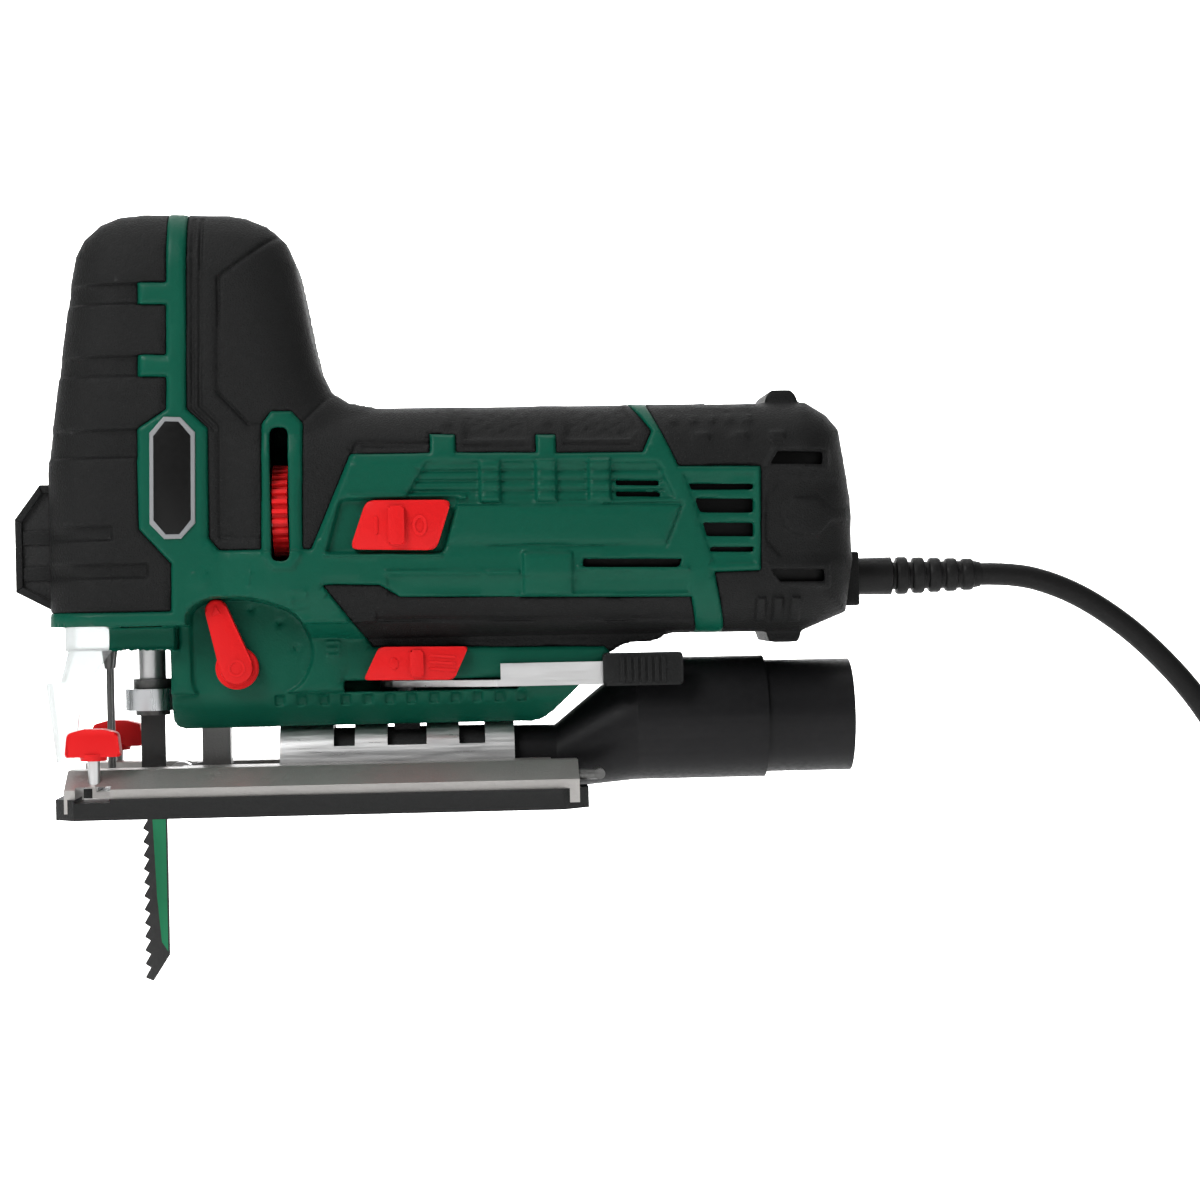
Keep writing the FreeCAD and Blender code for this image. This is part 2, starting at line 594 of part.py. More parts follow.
brushes = [box(STATOR_REAR + " + 6.5", STATOR_REAR + " + 12", "commutator_radius + 0.4",
               "commutator_radius + 14",
               "barrel_axis_z - 3", "barrel_axis_z + 3")]
brushes.append(mirrored(brushes[0]))
node(group(*brushes), "carbon_brushes")

# ---------------------------------------------------------------- plunger, blade and its clamp
ROD_AXIS = ("plunger_x", "0")
rod_low = "collar_high + 3"
node(rod("Z", ROD_AXIS, "plunger_radius", rod_low, "plunger_top"), "plunger_rod")
yoke_block = box("plunger_x - 7", YOKE_REAR, "-16", "16", pin_z + " - 8", pin_z + " + 8")
yoke_slot = box("plunger_x + 5", YOKE_REAR + " + 1", "-14", "14", pin_z + " - crank_pin_radius - 0.2",
                pin_z + " + crank_pin_radius + 0.2")
yoke_bore = rod("Z", ROD_AXIS, "plunger_radius", pin_z + " - 9", pin_z + " + 9")
node(cut(yoke_block, yoke_slot, yoke_bore), "scotch_yoke")
bush_low = ring("Z", ROD_AXIS, "bushing_radius", "plunger_radius + fit_gap", BLOCK_BOTTOM + " + 3",
                "nose_bottom + 9")
bush_high = ring("Z", ROD_AXIS, "bushing_radius", "plunger_radius + fit_gap", GEAR_Z + " + 24",
                 GEAR_Z + " + 32")
bridge = cut(box("plunger_x - 9", "gear_plate_rear - 1.5", "-12", "12", GEAR_Z + " + 26",
                 GEAR_Z + " + 31"),
             rod("Z", ROD_AXIS, "bushing_radius", GEAR_Z + " + 20", GEAR_Z + " + 40"))
upright = box(PLATE_FRONT, "gear_plate_rear - 1.5", "-12", "12", GEAR_Z + " + 23", GEAR_Z + " + 27")
node(fuse(gear_plate, bridge, upright), "gear_plate")
node(group(bush_low, bush_high), "plunger_bushings")
holder = fuse(rod("Z", ROD_AXIS, "holder_radius - 0.6", "collar_low - 1.5", "collar_high"),
              rod("Z", ROD_AXIS, "holder_radius", "collar_high", rod_low))
node(cut(holder, box("blade_back - blade_width", "blade_back", "-blade_thickness / 2",
                     "blade_thickness / 2",
                     "collar_low - 6", "collar_high + 1")), "blade_holder")
collar_ring = ring("Z", ROD_AXIS, "collar_radius", "holder_radius - 0.6 + fit_gap", "collar_low",
                   "collar_high - fit_gap")
collar_tab = box("plunger_x + collar_radius - 1", "plunger_x + collar_radius + 2", "-2.4", "2.4",
                 "collar_low + 0.5",
                 "collar_high - 0.6")
node(fuse(collar_ring, collar_tab), "clamp_collar")
EDGE = "blade_back - blade_width"


def saw_blade():
    """A blade with teeth on its front edge, its sizes read from the sheet."""
    back, edge = value("blade_back"), value(EDGE)
    tip, top = value("blade_tip"), value("collar_high") + 0.8
    pitch, depth = 4.2, 1.6
    outline = [FreeCAD.Vector(back, 0, top), FreeCAD.Vector(back, 0, tip + 8),
               FreeCAD.Vector(back - 5.2, 0, tip),
               FreeCAD.Vector(edge, 0, tip + 1)]
    count = int((value("foot_bottom") - 14 - tip) / pitch)
    for k in range(count):
        foot = tip + 1 + k * pitch
        outline.append(FreeCAD.Vector(edge, 0, foot + 0.4))
        outline.append(FreeCAD.Vector(edge + depth, 0, foot + pitch * 0.75))
        outline.append(FreeCAD.Vector(edge, 0, foot + pitch))
    outline.append(FreeCAD.Vector(edge, 0, top))
    face = Part.Face(Part.makePolygon(outline + outline[:1]))
    thick = value("blade_thickness")
    solid = face.extrude(FreeCAD.Vector(0, thick, 0))
    obj = doc.addObject("Part::Feature", "toothed_blade")
    obj.Shape = solid
    obj.Placement = FreeCAD.Placement(FreeCAD.Vector(0, -thick / 2, 0), FreeCAD.Rotation())
    return obj


node(saw_blade(), "saw_blade")

# ---------------------------------------------------------------- roller guide
ROLLER_X = "blade_back + gap + roller_radius"
ROLLER_Z = "10.5"
PIVOT = ("foot_front + 12.4", "foot_bottom + 9.7")
arm = prism("XZ", [
    ("foot_front + 8.1", "foot_bottom + 12.5"), ("foot_front + 16.8", "foot_bottom + 12.5"),
    ("foot_front + 16.8", "14"), ("foot_front + 10.5", "7.5"), (ROLLER_X, "7.5"), (ROLLER_X, "13.5"),
    ("foot_front + 8.1", "15"),
], "-arm_half_width", "arm_half_width")
arm_fork = box("blade_back - 3", ROLLER_X + " + roller_radius + gap", "-arm_half_width + 1.3",
               "arm_half_width - 1.3", "5", "16")
arm_pin = rod("Y", (ROLLER_X, ROLLER_Z), "1.2", "-arm_half_width", "arm_half_width")
pivot_hole = rod("Y", PIVOT, "1.5 + fit_gap", "-arm_half_width - 1", "arm_half_width + 1")
fork_tips = rod("Y", (ROLLER_X, ROLLER_Z), "3", "-arm_half_width", "arm_half_width")
node(fuse(cut(fuse(arm, fork_tips), arm_fork, pivot_hole), arm_pin), "roller_arm")
node(ring("Y", (ROLLER_X, ROLLER_Z), "roller_radius", "1.2 + fit_gap", "-arm_half_width + 1.5",
          "arm_half_width - 1.5"), "guide_roller")
node(rod("Y", PIVOT, "1.5", "-arm_half_width - gap", "arm_half_width + gap"), "arm_pivot_pin")

# ---------------------------------------------------------------- tilting base
slipper_form = prism("XY", both_sides([
    ("sole_front", "sole_half_width - 6"), ("sole_front + 6", "sole_half_width"),
    ("sole_rear - 8", "sole_half_width"), ("sole_rear", "sole_half_width - 8"),
]), "0", "slipper_thickness")
plate_form = prism("YZ", [
    ("-sole_half_width + slipper_rim", "slipper_rim"), ("sole_half_width - slipper_rim", "slipper_rim"),
    ("sole_half_width - slipper_rim", "plate_side_z"), ("plate_flat_half", "plate_top"),
    ("-plate_flat_half", "plate_top"), ("-sole_half_width + slipper_rim", "plate_side_z"),
], "sole_front + slipper_rim + 1", "sole_rear - slipper_rim - 1")
blade_slot = box("sole_front - 5", "blade_slot_rear", "-blade_slot_half", "blade_slot_half", "-1",
                 "plate_top + 1")
rear_notch = box("rear_notch_front", "sole_rear + 5", "-rear_notch_half", "rear_notch_half", "-1",
                 "plate_top + 1")
DUCT_RADIUS = "duct_bore + duct_wall"
trough = rod("X", ("0", "tilt_axis_z"), DUCT_RADIUS + " + trough_gap", "blade_slot_rear - 1",
             "sole_rear + 5")
fence_slot = box("fence_slot_x - fence_slot_width / 2", "fence_slot_x + fence_slot_width / 2",
                 "-sole_half_width - 2", "sole_half_width + 2", "5.2", "5.2 + fence_slot_height")
screw_bores = [rod("Z", ("fence_slot_x", side + "(sole_half_width - 6.5)"), "1.85 + fit_gap",
                   "5", "plate_top + 1") for side in ("", "-")]
channel = box("sole_front + slipper_rim + 3", "sole_rear - slipper_rim - 3", "-blade_slot_half - 4",
              "blade_slot_half + 4", "trough_floor", "slipper_thickness")
key_y = "-sole_half_width + 9"
key_hole = rod("X", (key_y, "10"), "1.7", "sole_rear - 50", "sole_rear + 1")
plate_body = fuse(cut(plate_form, slipper_form), channel)
node(cut(plate_body, blade_slot, rear_notch, trough, fence_slot, key_hole, *screw_bores), "base_plate")
node(cut(slipper_form, channel, blade_slot, rear_notch, trough, fence_slot), "base_slipper")
TILT = ("0", "tilt_axis_z")
half_tube = cut(ring("X", TILT, "saddle_outer", "saddle_outer - saddle_wall", "saddle_front",
                     "saddle_rear - 3"),
                box("saddle_front - 1", "saddle_rear + 1", "-30", "30", "-5", "plate_top"))
end_ring = cut(ring("X", TILT, "saddle_outer", "saddle_outer - saddle_wall", "saddle_rear - 3",
                    "saddle_rear"),
               box("saddle_front - 1", "saddle_rear + 1", "-30", "30", "-5", "plate_top"))
WINDOW_FLOOR = "tilt_axis_z + saddle_outer * 0.375"
windows = [box(low, high, "-20", "20", WINDOW_FLOOR, "tilt_axis_z + saddle_outer + 1")
           for low, high in (("2.5", "9"), ("clamp_x - 6", "clamp_x + 6"), ("41", "49"))]
node(cut(fuse(half_tube, end_ring), *windows), "tilt_saddle")
wing_points = [("fence_slot_x - 8.3", "19.5"), ("fence_slot_x + 8.3", "19.5"),
               ("fence_slot_x + 7", "27"),
               ("fence_slot_x - 7", "27")]
for side, sign in (("left", "-"), ("right", "")):
    spot = ("fence_slot_x", sign + "(sole_half_width - 6.5)")
    node(rod("Z", spot, "1.85", "fence_slot_height + 5.4", "18"), "fence_screw_" + side)
    hub = rod("Z", spot, "4.2", "17.5", "21")
    wing = prism("XZ", wing_points, spot[1] + " - 2.5", spot[1] + " + 2.5", {2: "2", 3: "2"})
    pinch = rod("Z", spot, "1.85", "16", "18")
    node(cut(fuse(hub, wing), pinch), "fence_knob_" + side)

key_long = rod("X", (key_y, "10"), "1.7 - fit_gap", "sole_rear - 49", "sole_rear + 3")
key_short = rod("Y", ("sole_rear + 3.4", "10"), "1.7 - fit_gap", key_y + " - 1.6", key_y + " + 10")
node(fuse(key_long, key_short), "hex_key")

# ---------------------------------------------------------------- clamp lever
strip = prism("XY", [
    ("clamp_x", "-lever_eye_radius"), ("clamp_x + 7", "-lever_eye_radius + 1"),
    ("saddle_rear - 1", "-foot_half_width"),
    ("saddle_rear + 1", "-foot_half_width - 3"), ("saddle_rear - 5", "-foot_half_width - 3"),
    ("clamp_x - 4", "-lever_eye_radius + 0.6"),
], "lever_z", "lever_z + lever_thickness")
eye = rod("Z", ("clamp_x", "0"), "lever_eye_radius", "lever_z", "lever_z + lever_thickness")
web = prism("XY", [
    ("clamp_x + 1", "lever_eye_radius - 2"), ("clamp_x - 7", "-3"),
    ("saddle_rear - 6", "-foot_half_width - 3"),
    ("saddle_rear", "-foot_half_width - 1"),
], "lever_z", "lever_z + lever_thickness")
LEVER_OUT = "-foot_half_width - 3"
upright = box("saddle_rear - 4", "handle_front + 6", LEVER_OUT, "-foot_half_width - 1", "lever_z",
              "lever_z + 7")
lever_bore = rod("Z", ("clamp_x", "0"), "clamp_bolt_radius + fit_gap", "lever_z - 1", "lever_z + 4")
node(cut(fuse(strip, eye, web, upright), lever_bore), "clamp_lever")
handle_block = box("handle_front", "handle_rear", "-foot_half_width - 5.5", "-foot_half_width - gap",
                   "lever_z - 0.5", "lever_z + 9.5")
handle_socket = box("saddle_rear", "handle_front + 6", LEVER_OUT, "-foot_half_width - 1", "lever_z",
                    "lever_z + 7")
node(cut(handle_block, handle_socket), "lever_handle")
node(fuse(rod("Z", ("clamp_x", "0"), "clamp_bolt_radius", "tilt_axis_z + duct_bore + 0.5",
              "lever_z + 8"),
          rod("Z", ("clamp_x", "0"), "clamp_bolt_radius + 3", "lever_z + lever_thickness + gap",
              "lever_z + 8")),
     "clamp_bolt")
duct_tube = ring("X", TILT, DUCT_RADIUS, "duct_bore", "saddle_front", "saddle_rear - 1")
duct_post = box("clamp_x - 4", "clamp_x + 4", "-4", "4", "tilt_axis_z + duct_bore + 0.3",
                "tilt_axis_z + saddle_outer - 0.5")
node(cut(fuse(duct_tube, duct_post), rod("Z", ("clamp_x", "0"), "clamp_bolt_radius",
                                         "tilt_axis_z + duct_bore + 0.5",
                                         "foot_bottom + 8")), "dust_duct")

# ---------------------------------------------------------------- controls on the left side
SLIDER_FACE = "-barrel_half_width - 2.2"
slider = prism("XZ", [("9.8", "79.4"), ("35.4", "78.6"), ("40.2", "93.4"), ("14.3", "93.4")],
               SLIDER_FACE, "-(%s) - gap" % SWITCH_FLOOR)
slider_bar = box("21.3", "25.8", SLIDER_FACE + " - 1.4", "-barrel_half_width - 1", "80.3", "91.9")
slider_tongue = box("20.5", "26.5", "-barrel_half_width", "-barrel_half_width + wall + 1", "84.3",
                    "88.7")
node(fuse(slider, slider_bar, slider_tongue), "main_switch")
blower_plate = prism("XZ", [("17.3", "49.2"), ("44.2", "49.2"), ("40", "40.2"), ("12.6", "40.2")],
                     "-foot_half_width - 3.4", "-foot_half_width - gap")
blower_bar = box("26.6", "30.4", "-foot_half_width - 4.8", "-foot_half_width - 3", "41", "48.6")
blower_tongue = box("26.6", "30.4", "-foot_half_width - 1", "-foot_half_width + 3.5", "43.3", "46.7")
node(fuse(blower_plate, blower_bar, blower_tongue), "blower_slider")
node(rod("X", WHEEL, "wheel_radius", "wheel_x - wheel_width / 2", "wheel_x + wheel_width / 2"),
     "speed_wheel")
LEVER_FACE = "-foot_half_width - 6.5"
PENDULUM = ("pendulum_x", "pendulum_z")
disc = rod("Y", PENDULUM, "6.5", "-foot_half_width - 4", "-foot_half_width - gap")
boss = rod("Y", PENDULUM, "5", LEVER_FACE, "-foot_half_width - 3")
spindle = rod("Y", PENDULUM, "3", "-foot_half_width - 1", "-arm_half_width - 1")
tip = rod("Y", ("pendulum_x - 5.8", "pendulum_z + 17.6"), "3.3", LEVER_FACE, "-foot_half_width - gap")
reach = prism("XZ", [
    ("pendulum_x - 5", "pendulum_z"), ("pendulum_x + 5", "pendulum_z"),
    ("pendulum_x - 2.4", "pendulum_z + 18"),
    ("pendulum_x - 8.6", "pendulum_z + 16.4"),
], "-foot_half_width - 4", "-foot_half_width - gap")
node(fuse(disc, boss, spindle, tip, reach), "pendulum_lever")

# ---------------------------------------------------------------- electrical pieces in the cap
node(box("cap_front + 4", "cap_front + 26", "-12", "12", "barrel_axis_z + 4", "barrel_axis_z + 22"),
     "switch_module")
node(box("cap_front + 4", "cap_front + 38", "-20", "20", "barrel_axis_z - 22", "barrel_axis_z - 2"),
     "speed_controller")

# ---------------------------------------------------------------- guards at the blade
GUARD = [("head_front - 5.1", "foot_bottom + 16.7"), ("head_front - 1.9", "plate_top + 1"),
         ("head_front + 5.5", "plate_top + 1"), ("head_front + 7", "foot_bottom + 4"),
         ("head_front + 11", "foot_bottom + 15.5"), ("head_front + 17.9", "foot_bottom + 25.4"),
         ("head_front + 2.3", "foot_bottom + 25.4"), ("head_front - 0.4", "foot_bottom + 17")]
guard_skin = prism("XZ", GUARD, "-8.6", "8.6")
guard_void = prism("XZ", [
    ("head_front - 2.9", "foot_bottom + 15"), ("head_front + 0.2", "plate_top - 1"),
    ("head_front + 9", "plate_top - 1"), ("head_front + 14", "foot_bottom + 4"),
    ("head_front + 22", "foot_bottom + 28"), ("head_front + 5", "foot_bottom + 28"),
    ("head_front + 1.6", "foot_bottom + 15"),
], "-7", "7")
guard_band = cut(box("head_front + 2.3", "foot_front - 18.2", "-13.8", "13.8", "foot_bottom + 24.7",
                     "nose_bottom"),
                 box("head_front + 4", "foot_front - 17", "-12.2", "12.2", "foot_bottom + 24",
                     "nose_bottom + 1"))
node(fuse(cut(guard_skin, guard_void), guard_band), "clear_guard")
wires = []
for side in ("-3.5", "3.5"):
    wires.append(rod("Z", ("plunger_x - 13", side), "0.8", "11", "foot_bottom + 19.5"))
    wires.append(cone("Z", ("plunger_x - 13", side), "1.3", "2", "foot_bottom + 19", BLOCK_BOTTOM))
foot_bar = rod("Y", ("plunger_x - 13", "11.4"), "0.8", "-3.5", "3.5")
node(fuse(*wires, foot_bar), "wire_guard")

# ---------------------------------------------------------------- dust adapter
NECK_PLUG = "duct_bore - gap"


def adapter():
    """The S-shaped dust pipe: a neck on the tilt axis that rises into a wider straight spigot."""
    axis_z, pipe_z = value("tilt_axis_z"), value("adapter_z")
    start = value("saddle_rear")

    def pipe(offset):
        stations = [(start + 0.0, axis_z, value("adapter_neck") - offset),
                    (start + 13, axis_z, value("adapter_neck") - offset),
                    (start + 38, pipe_z, value("adapter_radius") - offset)]
        rings = []
        for along, height, radius in stations[1:]:
            circle = Part.makeCircle(radius, FreeCAD.Vector(along, 0, height), FreeCAD.Vector(1, 0, 0))
            rings.append(Part.Wire(circle))
        neck = Part.makeCylinder(stations[0][2], stations[1][0] - start,
                                 FreeCAD.Vector(start, 0, axis_z),
                                 FreeCAD.Vector(1, 0, 0))
        return neck.fuse(Part.makeLoft(rings, True, True))

    obj = doc.addObject("Part::Feature", "adapter_bend")
    obj.Shape = pipe(0).cut(pipe(2)).removeSplitter()
    return obj


PIPE = ("0", "adapter_z")
big_pipe = ring("X", PIPE, "adapter_radius", "adapter_radius - 2", "saddle_rear + 38",
                "adapter_rear - 27.5")
spigot = ring("X", PIPE, "spigot_radius", "spigot_bore", "adapter_rear - 29", "adapter_rear")
plug_in = ring("X", TILT, NECK_PLUG, "duct_bore - 2", "saddle_rear - 22", "saddle_rear + 1")
neck_shoulder = ring("X", TILT, "adapter_neck", "adapter_neck - 2", "saddle_rear", "saddle_rear + 2")
step = ring("X", PIPE, "adapter_radius", "spigot_bore", "adapter_rear - 29", "adapter_rear - 27")
node(fuse(adapter(), big_pipe, spigot, plug_in, neck_shoulder, step), "dust_adapter")

# ---------------------------------------------------------------- cord, coil and plug
CORD = ("0", "cord_z")
relief = fuse(rod("X", CORD, "cord_radius + 2.4", "cap_rear - 6", "cap_rear + 3"),
              cone("X", CORD, "cord_radius + 2.4", "cord_radius + 1.2", "cap_rear + 3", "relief_rear"))
node(relief, "strain_relief")
ROUTE = [(205.8, 0, 68.3), (216.5, 0, 68.3), (229, 0, 65), (242, 0, 58.6), (258, 0, 46.5),
         (275.5, -1, 27), (288.5, -4, 2), (296.5, -9, -25), (305.5, -15, -47), (320, -22, -61.5),
         (340, -28, -68.2), (359, -29.5, -67.9)]


def cord_tube(points, radius):
    """A round cord of straight runs joined by arcs; each arc uses 0.45 of its shorter run."""
    spots = [FreeCAD.Vector(*p) for p in points]
    edges = []
    start = spots[0]
    for before, corner, after in zip(spots, spots[1:], spots[2:]):
        back = (before - corner).normalize()
        ahead = (after - corner).normalize()
        turn = math.pi - back.getAngle(ahead)
        trim = 0.45 * min((before - corner).Length, (after - corner).Length)
        bend = trim / math.tan(turn / 2)
        print("cord bend radius %.1f mm, turn %.1f degrees" % (bend, math.degrees(turn)))
        first = corner + back * trim
        last = corner + ahead * trim
        middle_way = (back + ahead).normalize()
        middle = corner + middle_way * (bend / math.cos(turn / 2) - bend)
        edges.append(Part.LineSegment(start, first).toShape())
        edges.append(Part.Arc(first, middle, last).toShape())
        start = last
    edges.append(Part.LineSegment(start, spots[-1]).toShape())
    path = Part.Wire(edges)
    circle = Part.makeCircle(radius, spots[0], spots[1] - spots[0])
    solid = path.makePipeShell([Part.Wire(circle)], True, True)
    print("cord length %.1f mm, volume share %.4f" % (path.Length,
                                                      solid.Volume / (math.pi * radius ** 2 * path.Length)))
    return solid


cord = doc.addObject("Part::Feature", "cord_sweep")
cord.Shape = cord_tube(ROUTE, value("cord_radius"))
node(cord, "power_cord")
coil = doc.addObject("Part::Torus", "coil_ring")
coil.setExpression("Radius1", bound("coil_radius"))
coil.setExpression("Radius2", bound("coil_section"))
node(place(coil, "coil_x", "coil_y", "coil_z"), "cord_coil")
node(ring("X", ("coil_y + coil_radius", "coil_z"), "coil_section + 2 * gap + tie_thickness",
          "coil_section + 2 * gap", "coil_x - 4", "coil_x + 4"), "coil_tie")
PLUG_LOW = "coil_z + coil_section"
PLUG_X = "coil_x + 22"
PLUG_Y = "coil_y - coil_radius + 11"
PLUG_Z = PLUG_LOW + " + 7.5"
plug_form = prism("XY", [
    (PLUG_X + " - 16", PLUG_Y + " - 9"), (PLUG_X + " - 6", PLUG_Y + " - 15"),
    (PLUG_X + " + 20", PLUG_Y + " - 18"), (PLUG_X + " + 26", PLUG_Y + " - 18"),
    (PLUG_X + " + 26", PLUG_Y + " + 18"), (PLUG_X + " + 20", PLUG_Y + " + 18"),
    (PLUG_X + " - 6", PLUG_Y + " + 15"), (PLUG_X + " - 16", PLUG_Y + " + 9"),
], PLUG_LOW, PLUG_LOW + " + 15")
plug_sleeve = rod("X", (PLUG_Y, PLUG_Z), "cord_radius + 1.4", PLUG_X + " - 40", PLUG_X + " - 15")
node(fuse(plug_form, plug_sleeve), "plug_body")
pins = [rod("X", (PLUG_Y + side, PLUG_Z), "2.4", PLUG_X + " + 26", PLUG_X + " + 45")
        for side in (" - 9.5", " + 9.5")]
node(group(*pins), "plug_pins")

# ---------------------------------------------------------------- build, check and write
doc.recompute()
faults = [o.Name for o in doc.Objects if {"Invalid", "Error"} & set(o.State)]
for obj in NODES:
    shape = obj.Shape
    if shape.isNull() or not shape.isValid() or not shape.Solids or shape.Volume <= 0:
        faults.append(obj.Label)
if faults:
    raise SystemExit("failed objects: %s" % ", ".join(faults))
for obj in NODES:
    obj.Shape.exportStep("parts/%s.step" % obj.Label)
    low, high = obj.Shape.BoundBox, len(obj.Shape.Solids)
    print("%-22s %d solid(s) %9.1f mm3  X %.1f %.1f  Y %.1f %.1f  Z %.1f %.1f" % (
        obj.Label, high, obj.Shape.Volume, low.XMin, low.XMax, low.YMin, low.YMax, low.ZMin, low.ZMax))
print(len(NODES), "sub-parts")
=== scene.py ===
"""Looks of the jigsaw: cord, housing mouldings, controls and studio, built round the CAD frame.

All coordinates are in millimetres in the row frame until MM turns them into metres. Side-view outlines are
(x, z) points.
"""
import json
import math
import bmesh
import bpy
import numpy as np
import openvdb
from mathutils import Matrix, Vector

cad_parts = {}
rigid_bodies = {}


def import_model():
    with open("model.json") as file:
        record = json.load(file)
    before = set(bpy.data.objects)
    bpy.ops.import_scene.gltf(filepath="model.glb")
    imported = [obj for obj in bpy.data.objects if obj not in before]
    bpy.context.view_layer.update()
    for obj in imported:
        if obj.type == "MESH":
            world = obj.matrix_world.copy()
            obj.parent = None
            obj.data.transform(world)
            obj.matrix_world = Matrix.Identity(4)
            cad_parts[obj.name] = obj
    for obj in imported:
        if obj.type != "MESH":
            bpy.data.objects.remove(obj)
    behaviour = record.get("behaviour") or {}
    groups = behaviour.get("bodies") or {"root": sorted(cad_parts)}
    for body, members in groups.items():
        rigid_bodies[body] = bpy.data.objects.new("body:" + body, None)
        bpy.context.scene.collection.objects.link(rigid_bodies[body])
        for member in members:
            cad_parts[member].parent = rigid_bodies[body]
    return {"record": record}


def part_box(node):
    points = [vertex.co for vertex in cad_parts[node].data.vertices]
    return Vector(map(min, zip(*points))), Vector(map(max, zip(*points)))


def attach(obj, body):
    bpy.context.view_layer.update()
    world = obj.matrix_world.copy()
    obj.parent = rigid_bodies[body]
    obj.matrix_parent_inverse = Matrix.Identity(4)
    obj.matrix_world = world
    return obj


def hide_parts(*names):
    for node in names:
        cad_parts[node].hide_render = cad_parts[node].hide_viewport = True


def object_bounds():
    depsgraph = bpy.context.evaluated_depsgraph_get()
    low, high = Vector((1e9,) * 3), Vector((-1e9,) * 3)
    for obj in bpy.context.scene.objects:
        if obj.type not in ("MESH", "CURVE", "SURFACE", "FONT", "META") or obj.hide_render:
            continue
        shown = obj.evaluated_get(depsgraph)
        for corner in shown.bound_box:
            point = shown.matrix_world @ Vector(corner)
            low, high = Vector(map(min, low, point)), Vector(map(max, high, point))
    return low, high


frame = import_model()
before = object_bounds()
MM = 0.001


def span(node):
    """A CAD node's lowest and highest corners, in millimetres."""
    low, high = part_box(node)
    return [c / MM for c in low], [c / MM for c in high]


# ---------------------------------------------------------------- camera
EYE = Vector((39, -890, 63.5)) * MM
AIM = Vector((85.9, 0, 62.5)) * MM
VIEW_WIDTH = 375
camera_data = bpy.data.cameras.new("camera")
camera_data.sensor_width = 36
camera_data.lens = 36 * 890 / VIEW_WIDTH
camera = bpy.data.objects.new("camera", camera_data)
turn = (AIM - EYE).to_track_quat("-Z", "Y").to_matrix().to_4x4()
camera.matrix_world = Matrix.Translation(EYE) @ turn @ Matrix.Rotation(math.radians(-1.15), 4, "Z")
bpy.context.scene.collection.objects.link(camera)
bpy.context.scene.camera = camera


# ---------------------------------------------------------------- materials
def socket(node, name, value):
    node.inputs[name].default_value = value


def surface(name, colour, rough, metal=0.0, grain=900.0, bump=0.15, mottle=0.15, edge_highlight=0.3,
            stretch=(1, 1, 1),
            clear=0.0):
    """A procedural finish: broad variation, fine grain in bump and roughness, and painted highlights: paler
    colour on sharp edges.
    """
    made = bpy.data.materials.new(name)
    made.use_nodes = True
    tree = made.node_tree
    skin = tree.nodes["Principled BSDF"]
    link = tree.links.new
    place = tree.nodes.new("ShaderNodeTexCoord")
    scale = tree.nodes.new("ShaderNodeMapping")
    socket(scale, "Scale", stretch)
    link(place.outputs["Object"], scale.inputs["Vector"])
    fine = tree.nodes.new("ShaderNodeTexNoise")
    socket(fine, "Scale", grain)
    socket(fine, "Detail", 3.0)
    link(scale.outputs["Vector"], fine.inputs["Vector"])
    broad = tree.nodes.new("ShaderNodeTexNoise")
    socket(broad, "Scale", 28.0)
    socket(broad, "Detail", 4.0)
    link(place.outputs["Object"], broad.inputs["Vector"])
    tint = tree.nodes.new("ShaderNodeMix")
    tint.data_type = "RGBA"
    tint.inputs[6].default_value = [c * (1 - mottle) for c in colour] + [1]
    tint.inputs[7].default_value = [c * (1 + mottle) for c in colour] + [1]
    link(broad.outputs["Fac"], tint.inputs["Factor"])
    # Painted highlight: where pointiness is high the colour turns paler, as if light caught the edges;
    # edge_highlight sets how much.
    form = tree.nodes.new("ShaderNodeNewGeometry")
    edge = tree.nodes.new("ShaderNodeMapRange")
    for key, value in (("From Min", 0.53), ("From Max", 0.68), ("To Min", 0.0), ("To Max", edge_highlight)):
        socket(edge, key, value)
    link(form.outputs["Pointiness"], edge.inputs["Value"])
    highlight_mix = tree.nodes.new("ShaderNodeMix")
    highlight_mix.data_type = "RGBA"
    highlight_mix.inputs[7].default_value = [min(1, c * 1.8 + 0.03) for c in colour] + [1]
    link(edge.outputs["Result"], highlight_mix.inputs["Factor"])
    link(tint.outputs[2], highlight_mix.inputs[6])
    link(highlight_mix.outputs[2], skin.inputs["Base Color"])
    gloss = tree.nodes.new("ShaderNodeMapRange")
    for key, value in (("From Min", 0.3), ("From Max", 0.7), ("To Min", max(0.02, rough - 0.07)),
                       ("To Max", min(1, rough + 0.09))):
        socket(gloss, key, value)
    link(fine.outputs["Fac"], gloss.inputs["Value"])
    link(gloss.outputs["Result"], skin.inputs["Roughness"])
    relief = tree.nodes.new("ShaderNodeBump")
    socket(relief, "Strength", bump)
    socket(relief, "Distance", 0.0004)
    link(fine.outputs["Fac"], relief.inputs["Height"])
    link(relief.outputs["Normal"], skin.inputs["Normal"])
    socket(skin, "Metallic", metal)
    socket(skin, "Specular IOR Level", 0.5 if metal > 0.3 or clear else 0.13)
    socket(skin, "Transmission Weight", clear)
    socket(skin, "IOR", 1.45)
    return made


